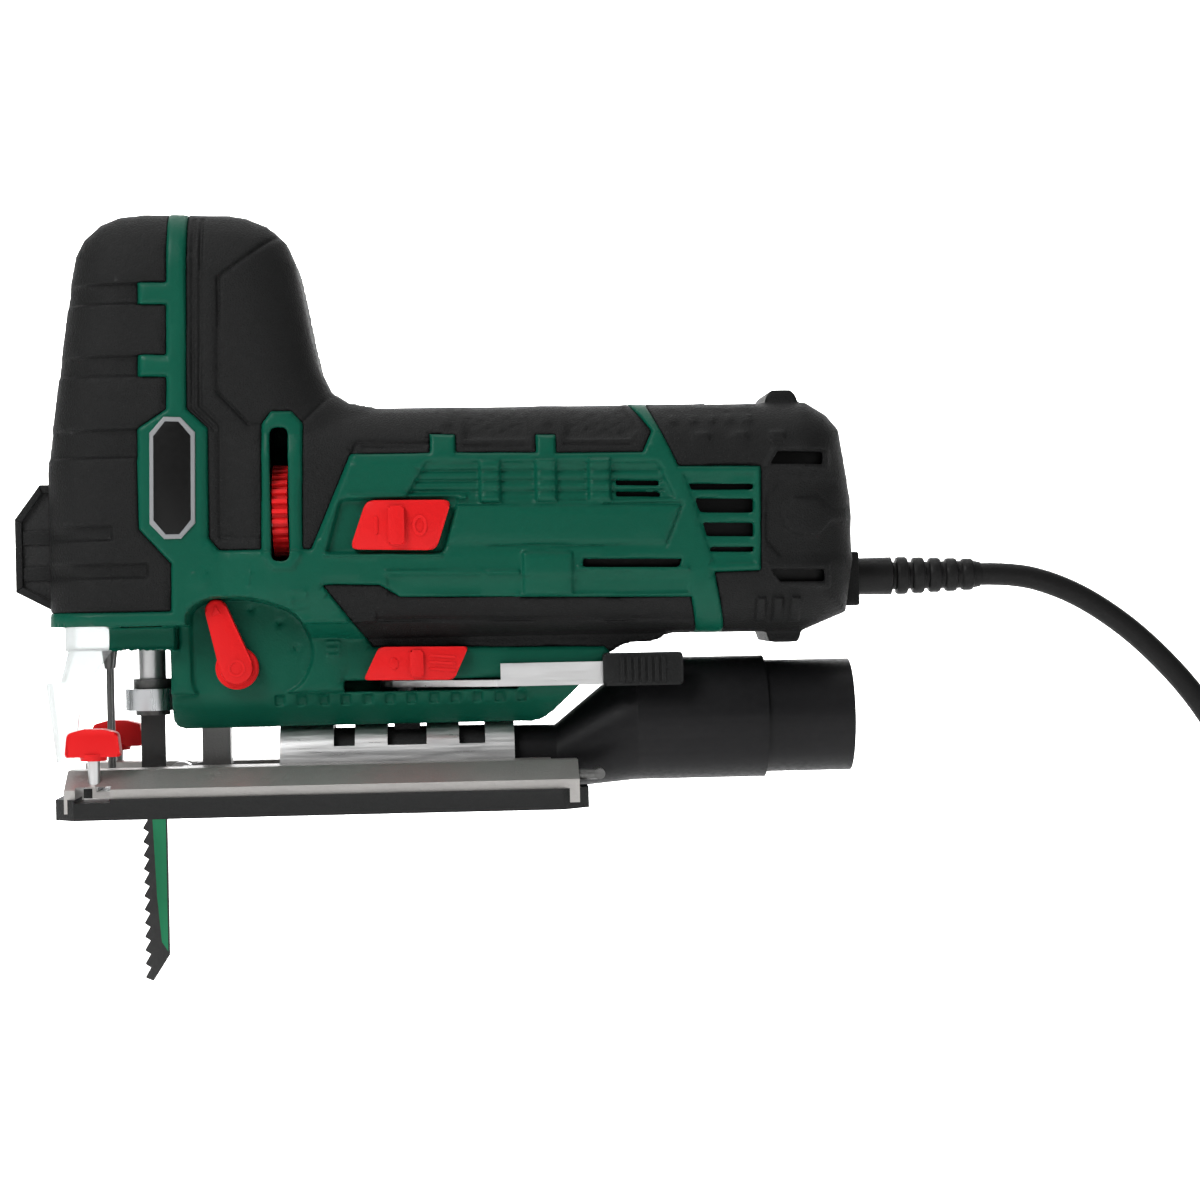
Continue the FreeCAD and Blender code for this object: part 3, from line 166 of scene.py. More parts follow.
LOOKS = {
    "green_plastic": surface("green_plastic", (0.0008, 0.052, 0.031), 0.42, grain=1500, bump=0.18),
    "black_grip": surface("black_grip", (0.0058, 0.006, 0.006), 0.56, grain=1900, bump=0.75, edge_highlight=0.5),
    "black_plastic": surface("black_plastic", (0.0055, 0.0058, 0.0058), 0.5, grain=1400, bump=0.4,
                             edge_highlight=0.4),
    "satin_black": surface("satin_black", (0.005, 0.005, 0.0055), 0.42, grain=700, bump=0.08),
    "label_grey": surface("label_grey", (0.17, 0.175, 0.18), 0.42, grain=1200, bump=0.1),
    "label_black": surface("label_black", (0.004, 0.004, 0.004), 0.35, grain=1200, bump=0.06),
    "red_plastic": surface("red_plastic", (0.46, 0.006, 0.007), 0.42, grain=1300, bump=0.12, edge_highlight=0.15),
    "clear_plastic": surface("clear_plastic", (0.72, 0.74, 0.74), 0.1, grain=60, bump=0.03, clear=0.82,
                             mottle=0.02),
    "cast_aluminium": surface("cast_aluminium", (0.3, 0.29, 0.28), 0.42, 0.85, grain=1100, bump=0.22),
    "bright_steel": surface("bright_steel", (0.48, 0.48, 0.48), 0.34, 1.0, grain=900, bump=0.06,
                            stretch=(0.06, 1, 1)),
    "dark_steel": surface("dark_steel", (0.09, 0.09, 0.088), 0.42, 0.8, grain=1500, bump=0.3),
    "blade_steel": surface("blade_steel", (0.012, 0.012, 0.012), 0.4, 0.4, grain=800, bump=0.1),
    "blade_green": surface("blade_green", (0.005, 0.12, 0.05), 0.45, grain=800, bump=0.08),
    "collar_steel": surface("collar_steel", (0.45, 0.46, 0.47), 0.3, 1.0, grain=900, bump=0.08,
                            stretch=(1, 1, 0.05)),
    "laminated_steel": surface("laminated_steel", (0.3, 0.3, 0.31), 0.45, 0.9, grain=2000,
                               stretch=(1, 0.02, 0.02)),
    "copper": surface("copper", (0.75, 0.32, 0.17), 0.32, 1.0, grain=1600, stretch=(0.05, 1, 1)),
    "carbon": surface("carbon", (0.03, 0.03, 0.03), 0.6, grain=900),
    "bronze": surface("bronze", (0.5, 0.33, 0.15), 0.45, 0.9, grain=1500),
    "fan_plastic": surface("fan_plastic", (0.05, 0.05, 0.05), 0.5, grain=900),
    "cord_rubber": surface("cord_rubber", (0.0052, 0.0052, 0.0052), 0.46, grain=1500, bump=0.3),
    "pin_brass": surface("pin_brass", (0.75, 0.72, 0.6), 0.25, 1.0, grain=900, bump=0.05),
}
for part in frame["record"]["subparts"]:
    for place in bpy.data.objects[part["node"]].material_slots:
        place.material = LOOKS[part["material_slot"]]
for place in bpy.data.objects["saw_blade"].material_slots:
    place.material = LOOKS["blade_steel"]


def settle(obj, look, body, replaced):
    """Links a finished piece, parents it to the body it rides on, and hides the CAD parts it replaces."""
    obj.data.materials.append(LOOKS[look])
    bpy.context.scene.collection.objects.link(obj)
    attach(obj, body)
    if replaced:
        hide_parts(*replaced)
    return obj


# ---------------------------------------------------------------- cord, coil, tie and plug
CORD_RADIUS = 3.6
relief_low, relief_high = span("strain_relief")
CORD_Z = (relief_low[2] + relief_high[2]) / 2
ROUTE = [(relief_high[0], 0, CORD_Z), (216.5, 0, CORD_Z), (229, 0, 65), (242, 0, 58.6), (258, 0, 46.5),
         (275.5, -1, 27), (288.5, -4, 2), (296.5, -9, -25), (305.5, -15, -47), (320, -22, -61.5),
         (340, -28, -67.4)]
coil_low, coil_high = span("cord_coil")
COIL = ((coil_low[0] + coil_high[0]) / 2, (coil_low[1] + coil_high[1]) / 2,
        (coil_low[2] + coil_high[2]) / 2)
PITCH = 2 * CORD_RADIUS + 0.02
TURNS = [(1, -1, 0.75, -1, 0), (0, -1, 0.75, -1, 0), (-1, -1, 0.67, 0, 1), (-1, 0, 0.59, 1, 0),
         (0, 0, 0.59, 1, 0),
         (1, 0, 0.51, 0, 1), (1, 1, 0.51, 0, 1)]
PER_TURN = 20
LAST_TURN = 0.775
START_ANGLE = math.radians(-99)


def ease(t):
    t = min(1, max(0, t))
    return t * t * (3 - 2 * t)


line = list(ROUTE)
for number, (column, layer, start, out, up) in enumerate(TURNS):
    last = LAST_TURN if number == len(TURNS) - 1 else 1
    for step in range(round(PER_TURN * last)):
        part = step / PER_TURN
        moved = ease((part - start) / 0.25)
        angle = START_ANGLE + 2 * math.pi * part
        radius = 40 + PITCH * (column + out * moved)
        line.append((COIL[0] + radius * math.cos(angle), COIL[1] + radius * math.sin(angle),
                     COIL[2] + PITCH * (layer + up * moved)))
plug_low, plug_high = span("plug_body")
PLUG_Y = (plug_low[1] + plug_high[1]) / 2
PLUG_Z = (plug_low[2] + plug_high[2]) / 2
BEND = COIL[1] - PLUG_Y
TOP = COIL[2] + 2 * PITCH
for step in range(13):
    part = step / 12
    angle = math.pi + part * math.pi / 2
    line.append((plug_low[0] + BEND * math.cos(angle) + 0.5, COIL[1] + BEND * math.sin(angle),
                 TOP + (PLUG_Z - TOP) * ease(part)))
line.append((plug_low[0] + 4, PLUG_Y, PLUG_Z))
curve = bpy.data.curves.new("mains_cord", "CURVE")
curve.dimensions = "3D"
curve.bevel_depth = CORD_RADIUS * MM
curve.bevel_resolution = 5
curve.resolution_u = 6
spline = curve.splines.new("NURBS")
spline.points.add(len(line) - 1)
for point, place in zip(spline.points, line):
    point.co = [c * MM for c in place] + [1]
spline.order_u = 3
spline.use_endpoint_u = True
cord = bpy.data.objects.new("mains_cord", curve)
settle(cord, "cord_rubber", "housing", ["power_cord", "cord_coil"])


# ---------------------------------------------------------------- small parts
def rounded(points, radius, steps=4):
    """The outline with each corner replaced by a short curve."""
    out = []
    for i, corner in enumerate(points):
        here, last, following = Vector(corner), Vector(points[i - 1]), Vector(points[(i + 1) % len(points)])
        reach = min(radius, (last - here).length * 0.45, (following - here).length * 0.45)
        start = here + (last - here).normalized() * reach
        end = here + (following - here).normalized() * reach
        for k in range(steps + 1):
            t = k / steps
            out.append(tuple(start * (1 - t) ** 2 + here * 2 * t * (1 - t) + end * t * t))
    return out


def oval(x, z, rx, rz, steps=32):
    return [(x + rx * math.cos(2 * math.pi * k / steps), z + rz * math.sin(2 * math.pi * k / steps))
            for k in range(steps)]


def capsule(a, ra, b, rb, steps=14):
    """The outline round two circles."""
    ahead = math.atan2(b[1] - a[1], b[0] - a[0])
    lean = math.acos((ra - rb) / math.dist(a, b))
    out = []
    for centre, radius, first, sweep in ((b, rb, -lean, 2 * lean), (a, ra, lean, 2 * (math.pi - lean))):
        for k in range(steps + 1):
            angle = ahead + first + sweep * k / steps
            out.append((centre[0] + radius * math.cos(angle), centre[1] + radius * math.sin(angle)))
    return out


class Part:
    """One piece gathered from plates and turned forms."""

    def __init__(self):
        self.mesh = bmesh.new()

    def plate(self, points, outer, inner, bevel=0.4, axis="Y"):
        """An outline stood across an axis, from inner to outer, with the outer rim bevelled."""
        def spot(p, level):
            u, v = p
            spots = {"Y": (u, level, v), "X": (level, u, v), "Z": (u, v, level)}
            return [c * MM for c in spots[axis]]
        front = [self.mesh.verts.new(spot(p, outer)) for p in points]
        back = [self.mesh.verts.new(spot(p, inner)) for p in points]
        face = self.mesh.faces.new(front)
        self.mesh.faces.new(back[::-1])
        for i in range(len(points)):
            j = (i + 1) % len(points)
            self.mesh.faces.new((front[j], front[i], back[i], back[j]))
        if bevel:
            bmesh.ops.bevel(self.mesh, geom=list(face.edges), offset=bevel * MM, segments=3, profile=0.5,
                            affect="EDGES")
        return self

    def turned(self, axis, centre, profile, steps=48):
        """A form turned about an axis; centre gives the other two coordinates."""
        rings = []
        for level, radius in profile:
            ring = []
            for k in range(steps):
                angle = 2 * math.pi * k / steps
                u, v = centre[0] + radius * math.cos(angle), centre[1] + radius * math.sin(angle)
                spots = {"X": (level, u, v), "Y": (u, level, v), "Z": (u, v, level)}
                ring.append(self.mesh.verts.new([c * MM for c in spots[axis]]))
            rings.append(ring)
        for low, high in zip(rings, rings[1:]):
            for k in range(steps):
                self.mesh.faces.new((low[k], low[(k + 1) % steps], high[(k + 1) % steps], high[k]))
        self.mesh.faces.new(rings[0][::-1])
        self.mesh.faces.new(rings[-1])
        return self

    def done(self, name, look, body, replaced=(), slot=None, sharp=32):
        bmesh.ops.recalc_face_normals(self.mesh, faces=self.mesh.faces[:])
        data = bpy.data.meshes.new(name)
        self.mesh.to_mesh(data)
        self.mesh.free()
        data.shade_smooth()
        data.set_sharp_from_angle(angle=math.radians(sharp))
        return settle(bpy.data.objects.new(name, data), look, body, replaced)


# Strain relief: a plain sleeve, then ribs that get smaller towards the cord.
profile = [(relief_low[0], 5.6), (relief_low[0] + 20, 5.9), (relief_low[0] + 20.6, 4.3)]
RIBS = 5
for rib in range(RIBS):
    start = relief_low[0] + 21.4 + rib * 5.2
    size = 5.9 - 0.22 * rib
    profile += [(start, 4.3), (start + 0.3, size - 0.3), (start + 0.9, size), (start + 3.1, size),
                (start + 3.7, size - 0.3), (start + 4, 4.3)]
profile += [(relief_high[0], 3.9)]
Part().turned("X", (0, CORD_Z), profile).done("cord_strain_relief", "cord_rubber", "housing",
                                              ["strain_relief"])

# Tie: a thin band round the bundle, whose hull leaves out the empty upper corner.
tie_low, tie_high = span("coil_tie")
tie_y = (tie_low[1] + tie_high[1]) / 2
tie_z = (tie_low[2] + tie_high[2]) / 2
hull = [(-11.1, -11.1), (11.1, -11.1), (11.1, 11.1), (3.6, 11.1), (-11.1, 3.9)]
outer_band = rounded([(tie_y + y * 1.06, tie_z + z * 1.06) for y, z in hull], 4.5, 6)
inner_band = rounded([(tie_y + y * 0.995, tie_z + z * 0.995) for y, z in hull], 4.2, 6)
band = Part()
corners = [[band.mesh.verts.new((x * MM, y * MM, z * MM)) for y, z in loop]
           for x in (tie_low[0], tie_high[0]) for loop in (outer_band, inner_band)]
for k in range(len(outer_band)):
    j = (k + 1) % len(outer_band)
    for a, b in ((0, 2), (1, 3), (0, 1), (2, 3)):
        band.mesh.faces.new((corners[a][k], corners[a][j], corners[b][j], corners[b][k]))
band.done("coil_tie_band", "black_plastic", "housing", ["coil_tie"])

# ---------------------------------------------------------------- housing: fields on the side view
STEP = 0.5
XS = np.arange(-96, 170, STEP, dtype=np.float32)
ZS = np.arange(22, 188, STEP, dtype=np.float32)
GX, GZ = np.meshgrid(XS, ZS, indexing="ij")


def distance(points, closed=True):
    """Distance to an outline on the side view; negative inside when it is closed."""
    best = np.full(GX.shape, 1e6, dtype=np.float32)
    odd = np.zeros(GX.shape, dtype=bool)
    ends = list(zip(points, points[1:] + points[:1])) if closed else list(zip(points, points[1:]))
    for (ax, az), (bx, bz) in ends:
        dx, dz = bx - ax, bz - az
        t = np.clip(((GX - ax) * dx + (GZ - az) * dz) / (dx * dx + dz * dz), 0, 1)
        best = np.minimum(best, np.hypot(GX - ax - t * dx, GZ - az - t * dz))
        if closed and az != bz:
            odd ^= ((az > GZ) != (bz > GZ)) & (GX < dx * (GZ - az) / dz + ax)
    return np.where(odd, -best, best)


def fall(depth_in, reach, drop):
    """How far a side falls back near its edge: a quarter of an ellipse."""
    t = np.clip(-depth_in, 0, reach) / reach
    return drop * (1 - np.sqrt(1 - (1 - t) ** 2))


def box_points(x0, x1, z0, z1):
    return [(x0, z0), (x1, z0), (x1, z1), (x0, z1)]


shell_low, shell_high = span("left_housing_shell")
NOSE, FOOT_Z, HEAD_Z = shell_low[0], shell_low[2], shell_high[2]
REAR = 163.5
HEAD_TOP = [(NOSE, 105), (NOSE + 3.2, 128), (NOSE + 8.2, 162), (NOSE + 9.8, 170), (NOSE + 12.4, 175),
            (NOSE + 17.5, 179.6), (NOSE + 23.5, 182), (NOSE + 31, HEAD_Z), (-27, HEAD_Z - 0.4),
            (-20.8, 181.2),
            (-14, 178.4), (-8.6, 173.5), (-5.6, 166.4), (-3.6, 157), (-1.4, 144.7), (0.9, 134.7),
            (4.1, 127.9),
            (9.3, 124.5), (17, 123)]
BARREL = [(-36, 51.8), (-36, 123), (REAR - 14, 122.4), (REAR - 7.5, 118.3), (REAR - 3.6, 113.6),
          (REAR - 1.7, 101.2),
          (REAR - 0.2, 92), (REAR, 73.4), (REAR - 2.5, 57.3), (REAR - 16.6, 51.6), (106, 51.8)]
FOOT = rounded([(-46.4, FOOT_Z), (66.8, FOOT_Z), (88.7, 47), (92.8, 49), (102, 49.5), (106, 52), (106, 70),
                (-46.4, 70)], 4.5)
head = distance([(NOSE, 57.3)] + HEAD_TOP + [(17, 57.3)])
head_rounding = distance([(NOSE, 0)] + HEAD_TOP + [(17, 110), (40, 110), (40, 0)])
barrel = distance(BARREL)
foot = distance(FOOT)
block = distance(box_points(-64.4, -44, 50, 70))
OUTLINE = np.minimum(np.minimum(head, barrel), np.minimum(foot, block))

half = np.where(head < 0, 30.5 - fall(head_rounding, 19, 14.5), 4)
half = np.maximum(half, np.where(barrel < 0, 33 - fall(barrel, 18, 18), 4))
foot_side = np.interp(GZ, [25.3, 32.4, 36], [10.4, 17.4, 19]) + np.interp(GX, [3, 9], [1.8, 0]) * (GZ > 36)
half = np.maximum(half, np.where(foot < 0, foot_side - fall(foot, 1.5, 1.5), 4))
half = np.maximum(half, np.where(block < 0, 26 - fall(head_rounding, 19, 14.5), 4))


def carve(surface_map, points, depth, slope=0.8):
    """A recess with sloping sides; a negative depth raises a block."""
    return surface_map - depth * np.clip(-distance(points) / slope, 0, 1)


def groove(surface_map, points, depth=0.7, width=1.3, closed=False):
    return surface_map - 1.4 * depth * np.clip(1.6 * (1 - 2 * distance(points, closed) / width), 0, 1)


def level(surface_map, points, height, grow=0.0):
    """A recess down to a flat floor; grow widens it."""
    share = np.clip(grow - distance(points), 0, 1)
    return surface_map - np.maximum(surface_map - height, 0) * share


# Regions of the second colour.
FRONT = [(-110, 61.9), (-44.6, 61.7), (-44.3, 76), (-53.8, 86.5), (-53.9, 116.6), (-44.9, 122.5),
         (-44.7, 132.2),
         (-53.4, 132.3), (-53.3, 139), (-44.6, 138.8), (-44.3, 153.9), (-53, 154), (-52.9, 160.7),
         (-44.1, 160.5),
         (-43.8, 195), (-110, 195)]
GRIP = [(-37.7, 195), (-38.9, 122.4), (-32.6, 116.5), (-33, 83.5), (-30, 79.8), (-2.3, 79.5), (9.9, 108),
        (33.9, 107.9), (33.9, 113.6), (41.6, 113.4), (41.6, 107.9), (65.8, 107.4), (65.8, 113),
        (71.9, 112.9),
        (71.9, 107.2), (98, 107), (101, 113.4), (94.8, 122), (94.8, 195)]
BEZEL = [(-13.6, 121.3), (-7.6, 121.3), (-4.2, 117.6), (-4.9, 77), (-8, 73.2), (-13.6, 73.3), (-17.2, 77.2),
         (-16.5, 117.6)]
STRIP = [(0.8, 68.8), (18, 68.4), (23.9, 64.7), (112, 63), (114, 52), (114, 44), (89.5, 45), (86, 48.4),
         (15.4, 49.6)]
CAP = [(100.3, 130), (100.3, 120.8), (108.8, 102.6), (133.8, 102.2), (133.2, 70.6), (119.1, 70.4),
       (122.3, 54),
       (122.3, 40), (180, 40), (180, 130)]
SLOTS = [
    [(89.8, 98.6), (102.7, 98.3), (102.7, 96.8), (89.8, 97.1)],
    [(89.8, 95.2), (102.9, 94.9), (103.2, 93.4), (89.8, 93.7)],
    [(79.4, 75.1), (109.2, 74.5), (108.4, 72), (79.3, 72.6)],
    [(111.8, 97.2), (131.4, 96.8), (131.3, 95), (112.6, 95.3)],
    [(113.5, 92.7), (131.3, 92.3), (131.2, 88), (115, 88.4)],
    [(115.8, 85.4), (131.2, 85), (131.1, 80.9), (117, 81.2)],
    [(117.4, 78), (131.1, 77.7), (131, 76.2), (118, 76.5)],
    [(136.5, 102.7), (139, 106.6), (152.9, 106.2), (152.9, 102.4)],
    [(136, 70.9), (152.8, 70.5), (152.8, 66.9), (139, 67)],
]
WHEEL_SLOT = rounded(box_points(-14.2, -8.7, 76, 116.5), 2.4)
SWITCH_ROOM = rounded([(1.6, 77.8), (37.6, 77.2), (43, 94.9), (6.4, 94.7)], 2)
BLOWER_ROOM = [(4.5, 38.4), (46, 37.9), (51, 50.4), (10.5, 50.6)]
DIAL = rounded([(-40, 36), (-40.5, 62), (-34, 65.8), (-20, 65.8), (-6, 60.5), (-1.5, 48), (-6, 37.5),
                (-16, 33.8),
                (-30, 31)], 9, 6)

front, grip, bezel, strip, cap = (distance(p) for p in (FRONT, GRIP, BEZEL, STRIP, CAP))
grip = np.maximum(grip, -bezel)
green = -np.minimum(np.minimum(front, grip), np.minimum(strip, cap))
slots = np.minimum.reduce([distance(p) for p in SLOTS])

# Form shared by both sides.
for z0, z1, x1 in ((154, 160.7, -52), (132.3, 139, -52), (107.8, 116.9, -53), (83, 88, -61.6),
                   (71.6, 76.5, -51)):
    half = carve(half, box_points(-110, x1, z0, z1), 1.7)
half = carve(half, box_points(-110, -43, 50, 57.3), 2.2)
half = groove(half, FRONT, 0.8, 1.2, True)
half = groove(half, GRIP, 0.8, 1.2, True)
half = groove(half, STRIP, 0.7, 1.1, True)
half = groove(half, CAP, 0.8, 1.2, True)
half = carve(half, BEZEL, -1.1)
half = groove(half, [(-11, 175), (-28.7, 162), (-29.4, 127.3), (-20.4, 117.5), (-17.4, 117.4)])
half = groove(half, [(-35.9, 180), (-37, 122.6), (-30.4, 116)], 0.6)
half = groove(half, [(-33.6, 180), (-34.8, 123.4), (-29, 117.6), (-29.4, 83.6), (-17.4, 83.2)], 0.6)
half = groove(half, [(5.6, 128), (-4.3, 117.8)], 0.5)
half = groove(half, [(33.9, 110.9), (12, 111.3), (0, 83)], 0.6)
for x0, x1 in ((-2, 33.5), (43.2, 64.4), (73.4, 96.5)):
    half = groove(half, [(x0 + 1 if x0 > 0 else 14, 109.9), (x1 - 1.2, 109.6)], 0.5, 1.0)
diamonds = 0.45 * np.maximum(np.abs(np.sin((GX + 0.62 * GZ) * 0.72)) ** 6,
                             np.abs(np.sin((GX - 1.9 * GZ) * 0.5)) ** 8)
for pad in ([(44.9, 130), (44.9, 112.2), (63.3, 111.9), (63.3, 130)],
            [(75.4, 130), (75.4, 111.9), (94, 111.5), (96.4, 114.3), (92.5, 121), (92.5, 130)]):
    half = groove(half, pad, 0.6, 1.0, True) - np.where(distance(pad) < -0.8, diamonds, 0)
for x0, x1 in ((36.9, 40.9), (66.9, 70.9)):
    half = carve(half, box_points(x0, x1, 115.8, 130), -0.7, 0.5)
# Barrel: vent panel, blank name panel, ledges and boss.
half = carve(half, [(24, 91.5), (32.6, 105.6), (102.6, 104.2), (108, 92.6)], 1.3)
for z in (102.4, 99.4, 96.2):
    half = groove(half, [(31 + (102.4 - z) * -0.5, z), (104, z - 0.9)], 0.6, 1.4)
for x0, x1 in ((48.3, 55.2), (65.2, 72.1), (81.1, 88.4)):
    half = carve(half, [(x0, 92.4), (x1, 92.3), (x1, 105.4), (x0, 105.5)], -1.9)
half = carve(half, [(40.4, 92.4), (109.4, 91), (104.4, 79.2), (38.4, 80.6)], -0.6)
half = groove(half, [(24, 92.4), (109.8, 91.2), (104.6, 78.6), (37, 79.8)], 0.5, 1.0)
half = carve(half, [(20, 71.3), (112, 69.8), (112, 64), (20, 65)], 0.9)
for x0, x1 in ((19.3, 60.4), (77, 111.6)):
    half = carve(half, [(x0, 73.1), (x1, 72.3), (x1, 70.6), (x0, 71.4)], -1.0, 0.6)
half = carve(half, [(61, 64.5), (76.3, 64.2), (76.5, 77.4), (60.8, 77.7)], -1.5)
half = groove(half, [(8, 58), (112, 56.4)], 0.6, 1.4)
for count in range(12):
    x0 = -15 + 6.7 * count
    half = carve(half, box_points(x0, x0 + 3.3, 32.1, 35.6), 1.2, 0.5)
# Cap: louvre panel, raised blocks, vent frames and octagons.
half = carve(half, [(109.6, 100.6), (132.4, 100.2), (132, 72.4), (118.4, 72.6)], 0.9)
for x0, x1 in ((105.9, 108.8), (112, 114.9), (118, 120.6), (123, 126.2), (128.7, 132)):
    half = carve(half, box_points(x0, x1, 119.2, 123), -0.7, 0.5)
    half = carve(half, box_points(x0, x1, 115.5, 118.6), -0.7, 0.5)
for x0 in (113.6, 125.1, 136.5):
    half = carve(half, box_points(x0, x0 + 5.1, 110.3, 113.1), -0.9, 0.5)
half = carve(half, [(133.8, 101.2), (137.4, 108.2), (155.6, 107.6), (155.4, 100.2)], -1.0)
half = carve(half, [(133.6, 73.3), (155, 72.7), (154.9, 64.5), (138, 65)], -1.0)
half = carve(half, [(134.4, 79.5), (134.6, 92.5), (139.5, 98.6), (170, 98), (170, 73.6), (139, 73.9)], 0.9)
half = carve(half, [(140, 84), (140.2, 89.6), (143.5, 92.8), (151.5, 92.6), (155.4, 88.6), (170, 88.3),
                    (170, 84.9),
                    (155.4, 84.8), (151.4, 80.8), (143.3, 81)], -1.1)
for x0 in (131.4, 136.6, 141.8):
    half = carve(half, box_points(x0, x0 + 3.6, 54.5, 62.6), -1.6, 0.6)
inner_right = half
# Left side only: rooms of the controls.
left = half
for rail in ([(8.8, 95.9), (45.1, 95.2), (45, 93.4), (8.8, 94.1)],
             [(1, 78.5), (37.2, 77.8), (37.1, 76.3), (1, 77)]):
    left = carve(left, rail, -1.0, 0.6)
left = level(left, SWITCH_ROOM, 30.6)
left = level(left, BLOWER_ROOM, 19)
left = level(left, DIAL, 19)
for x, z in ((-21.4, 62), (-13, 57.8), (-7.9, 49.9)):
    left = carve(left, oval(x, z, 1.2, 1.2, 16), 0.6, 0.4)
for mark in ([(-38, 68.9), (-33.8, 68.9), (-33.8, 73), (-38, 73)], [(-21.2, 69), (-20.6, 73)],
             [(-8.4, 67), (-4.2, 67), (-4.2, 64.8), (-8.4, 64.4), (-8.4, 62.2), (-4.2, 62.2)],
             [(1.4, 51.6), (5.2, 51.6), (5.2, 49.6), (1.6, 49.6), (5.2, 49.4), (5.2, 47.4), (1.4, 47.4)]):
    left = groove(left, mark, -0.35, 0.9, len(mark) == 4)
inner_left = level(level(level(half, SWITCH_ROOM, 30.6, 3), BLOWER_ROOM, 19, 3), DIAL, 19, 3)

WALL = 3.6
WHEEL_FIELD = distance(WHEEL_SLOT)


def distance_at(field, x, z):
    """A side-view field read at a block's own columns and rows."""
    i = np.rint((x[:, 0, 0] - XS[0]) / STEP).astype(int)
    k = np.rint((z[0, 0, :] - ZS[0]) / STEP).astype(int)
    return field[np.ix_(i, k)][:, None, :]


# Rooms cut out of the shells for what moves in them; each is negative inside.
def saddle_room(x, y, z):
    return np.maximum(np.hypot(y, z - 14) - 14.7, -15.6 - x)


def arm_room(x, y, z):
    return np.maximum(np.maximum(np.abs(y) - 4.7, x + 27.4), z - 40.8)


def collar_room(x, y, z):
    return np.maximum(np.hypot(x + 53.6, y) - 12.2, z - 50.2)


def plunger_room(x, y, z):
    return np.maximum(np.hypot(x + 53.6, y) - 4.8, z - 80)


def bolt_room(x, y, z):
    return np.maximum(np.hypot(x - 25, y) - 6.5, z - 46)


def lever_room(x, y, z):
    return np.maximum(np.maximum(np.maximum(6.2 - x, x - 59.4), np.maximum(36 - z, z - 39.5)), y - 8.6)


def wheel_room(x, y, z):
    flat = distance_at(WHEEL_FIELD, x, z)
    return np.maximum(flat, y + 2)


def lug(x, y, z, x0, z0, radius, reach):
    return np.maximum(np.hypot(x - x0, z - z0) - radius, np.abs(y) - reach)


def cord_boss(x, y, z):
    return np.maximum(np.maximum(np.abs(x - 162) - 4.4, np.abs(z - 67.6) - 8.4), np.abs(y) - 9)


# Each moulding is a block of samples where negative is solid, turned into a mesh along its zero surface.
def moulding(name, region, side, look, replaced, rooms=(), bosses=()):
    """A shell piece: the region of the side view stood out to the half-width maps, hollow inside."""
    near = (region < 2) & (OUTLINE < 2)
    rows, columns = np.where(near.any(axis=1))[0], np.where(near.any(axis=0))[0]
    i0, i1 = max(rows[0] - 3, 0), min(rows[-1] + 4, len(XS))
    k0, k1 = max(columns[0] - 3, 0), min(columns[-1] + 4, len(ZS))
    y_range = {"left": (-38, 1.5), "right": (-1.5, 38), "both": (-38, 38.5)}[side]
    ys = np.arange(*y_range, STEP, dtype=np.float32)
    x, y, z = XS[i0:i1, None, None], ys[None, :, None], ZS[None, None, k0:k1]

    def cell(field):
        return field[i0:i1, k0:k1][:, None, :].astype(np.float32)
    out = np.where(y < 0, cell(left), cell(half))
    core = np.where(y < 0, cell(inner_left), cell(inner_right))
    edge = cell(OUTLINE)
    solid = np.maximum(np.maximum(edge, np.abs(y) - out), cell(region))
    solid = np.maximum(solid, -np.maximum(edge + WALL, np.abs(y) - (core - WALL)))
    solid = np.maximum(solid, -cell(slots))
    for boss in bosses:
        solid = np.minimum(solid, boss(x, y, z))
    if side == "left":
        solid = np.maximum(solid, y)
    if side == "right":
        solid = np.maximum(solid, -y)
    for room in rooms:
        solid = np.maximum(solid, -room(x, y, z))
    grid = openvdb.FloatGrid()
    grid.background = 3.0
    grid.copyFromArray(np.clip(solid, -3, 3).astype(np.float32))
    points, triangles, quads = grid.convertToPolygons(isovalue=0.0, adaptivity=0.12)
    points = points * STEP + np.array([XS[i0], ys[0], ZS[k0]])
    data = bpy.data.meshes.new(name)
    faces = [tuple(f) for f in triangles[:, ::-1].tolist()] + [tuple(f) for f in quads[:, ::-1].tolist()]
    data.from_pydata((points * MM).tolist(), [], faces)
    data.validate()
    data.shade_smooth()
    print(name, len(faces), "faces")
    return settle(bpy.data.objects.new(name, data), look, "housing", replaced)


base_rooms = (saddle_room, arm_room, collar_room, plunger_room, bolt_room, lever_room)
moulding("left_shell", green, "left", "green_plastic", ["left_housing_shell"],
         rooms=base_rooms + (wheel_room,))
moulding("right_shell", green, "right", "green_plastic", ["right_housing_shell"], rooms=base_rooms)
moulding("left_hood", front, "left", "black_grip", ["left_front_grip"], rooms=(plunger_room,))
moulding("right_hood", front, "right", "black_grip", ["right_front_grip"], rooms=(plunger_room,))
moulding("left_grip", grip, "left", "black_grip", ["left_head_grip"], rooms=(wheel_room,))
moulding("right_grip", grip, "right", "black_grip", ["right_head_grip"])
moulding("left_strip", strip, "left", "black_grip", ["left_side_strip"], rooms=(saddle_room,))
moulding("right_strip", strip, "right", "black_grip", ["right_side_strip"], rooms=(saddle_room,))
moulding("cap_shell", cap, "both", "black_grip", ["rear_cap"],
         bosses=(lambda x, y, z: lug(x, y, z, 142.1, 121.8, 5.1, 17), lambda x, y,
                 z: lug(x, y, z, 141.5, 52, 5.4, 17),
                 cord_boss))

# Black sheets a little way behind the louvres: painted shade, so the vent slots read dark inside.
dark_backing_sheets = Part()
for way in (-1, 1):
    dark_backing_sheets.plate(box_points(78, 153.5, 65.5, 107.5), way * 26.3, way * 25.3, 0.2)
dark_backing_sheets.done("vent_shade_backing", "label_black", "housing", slot="black_plastic")

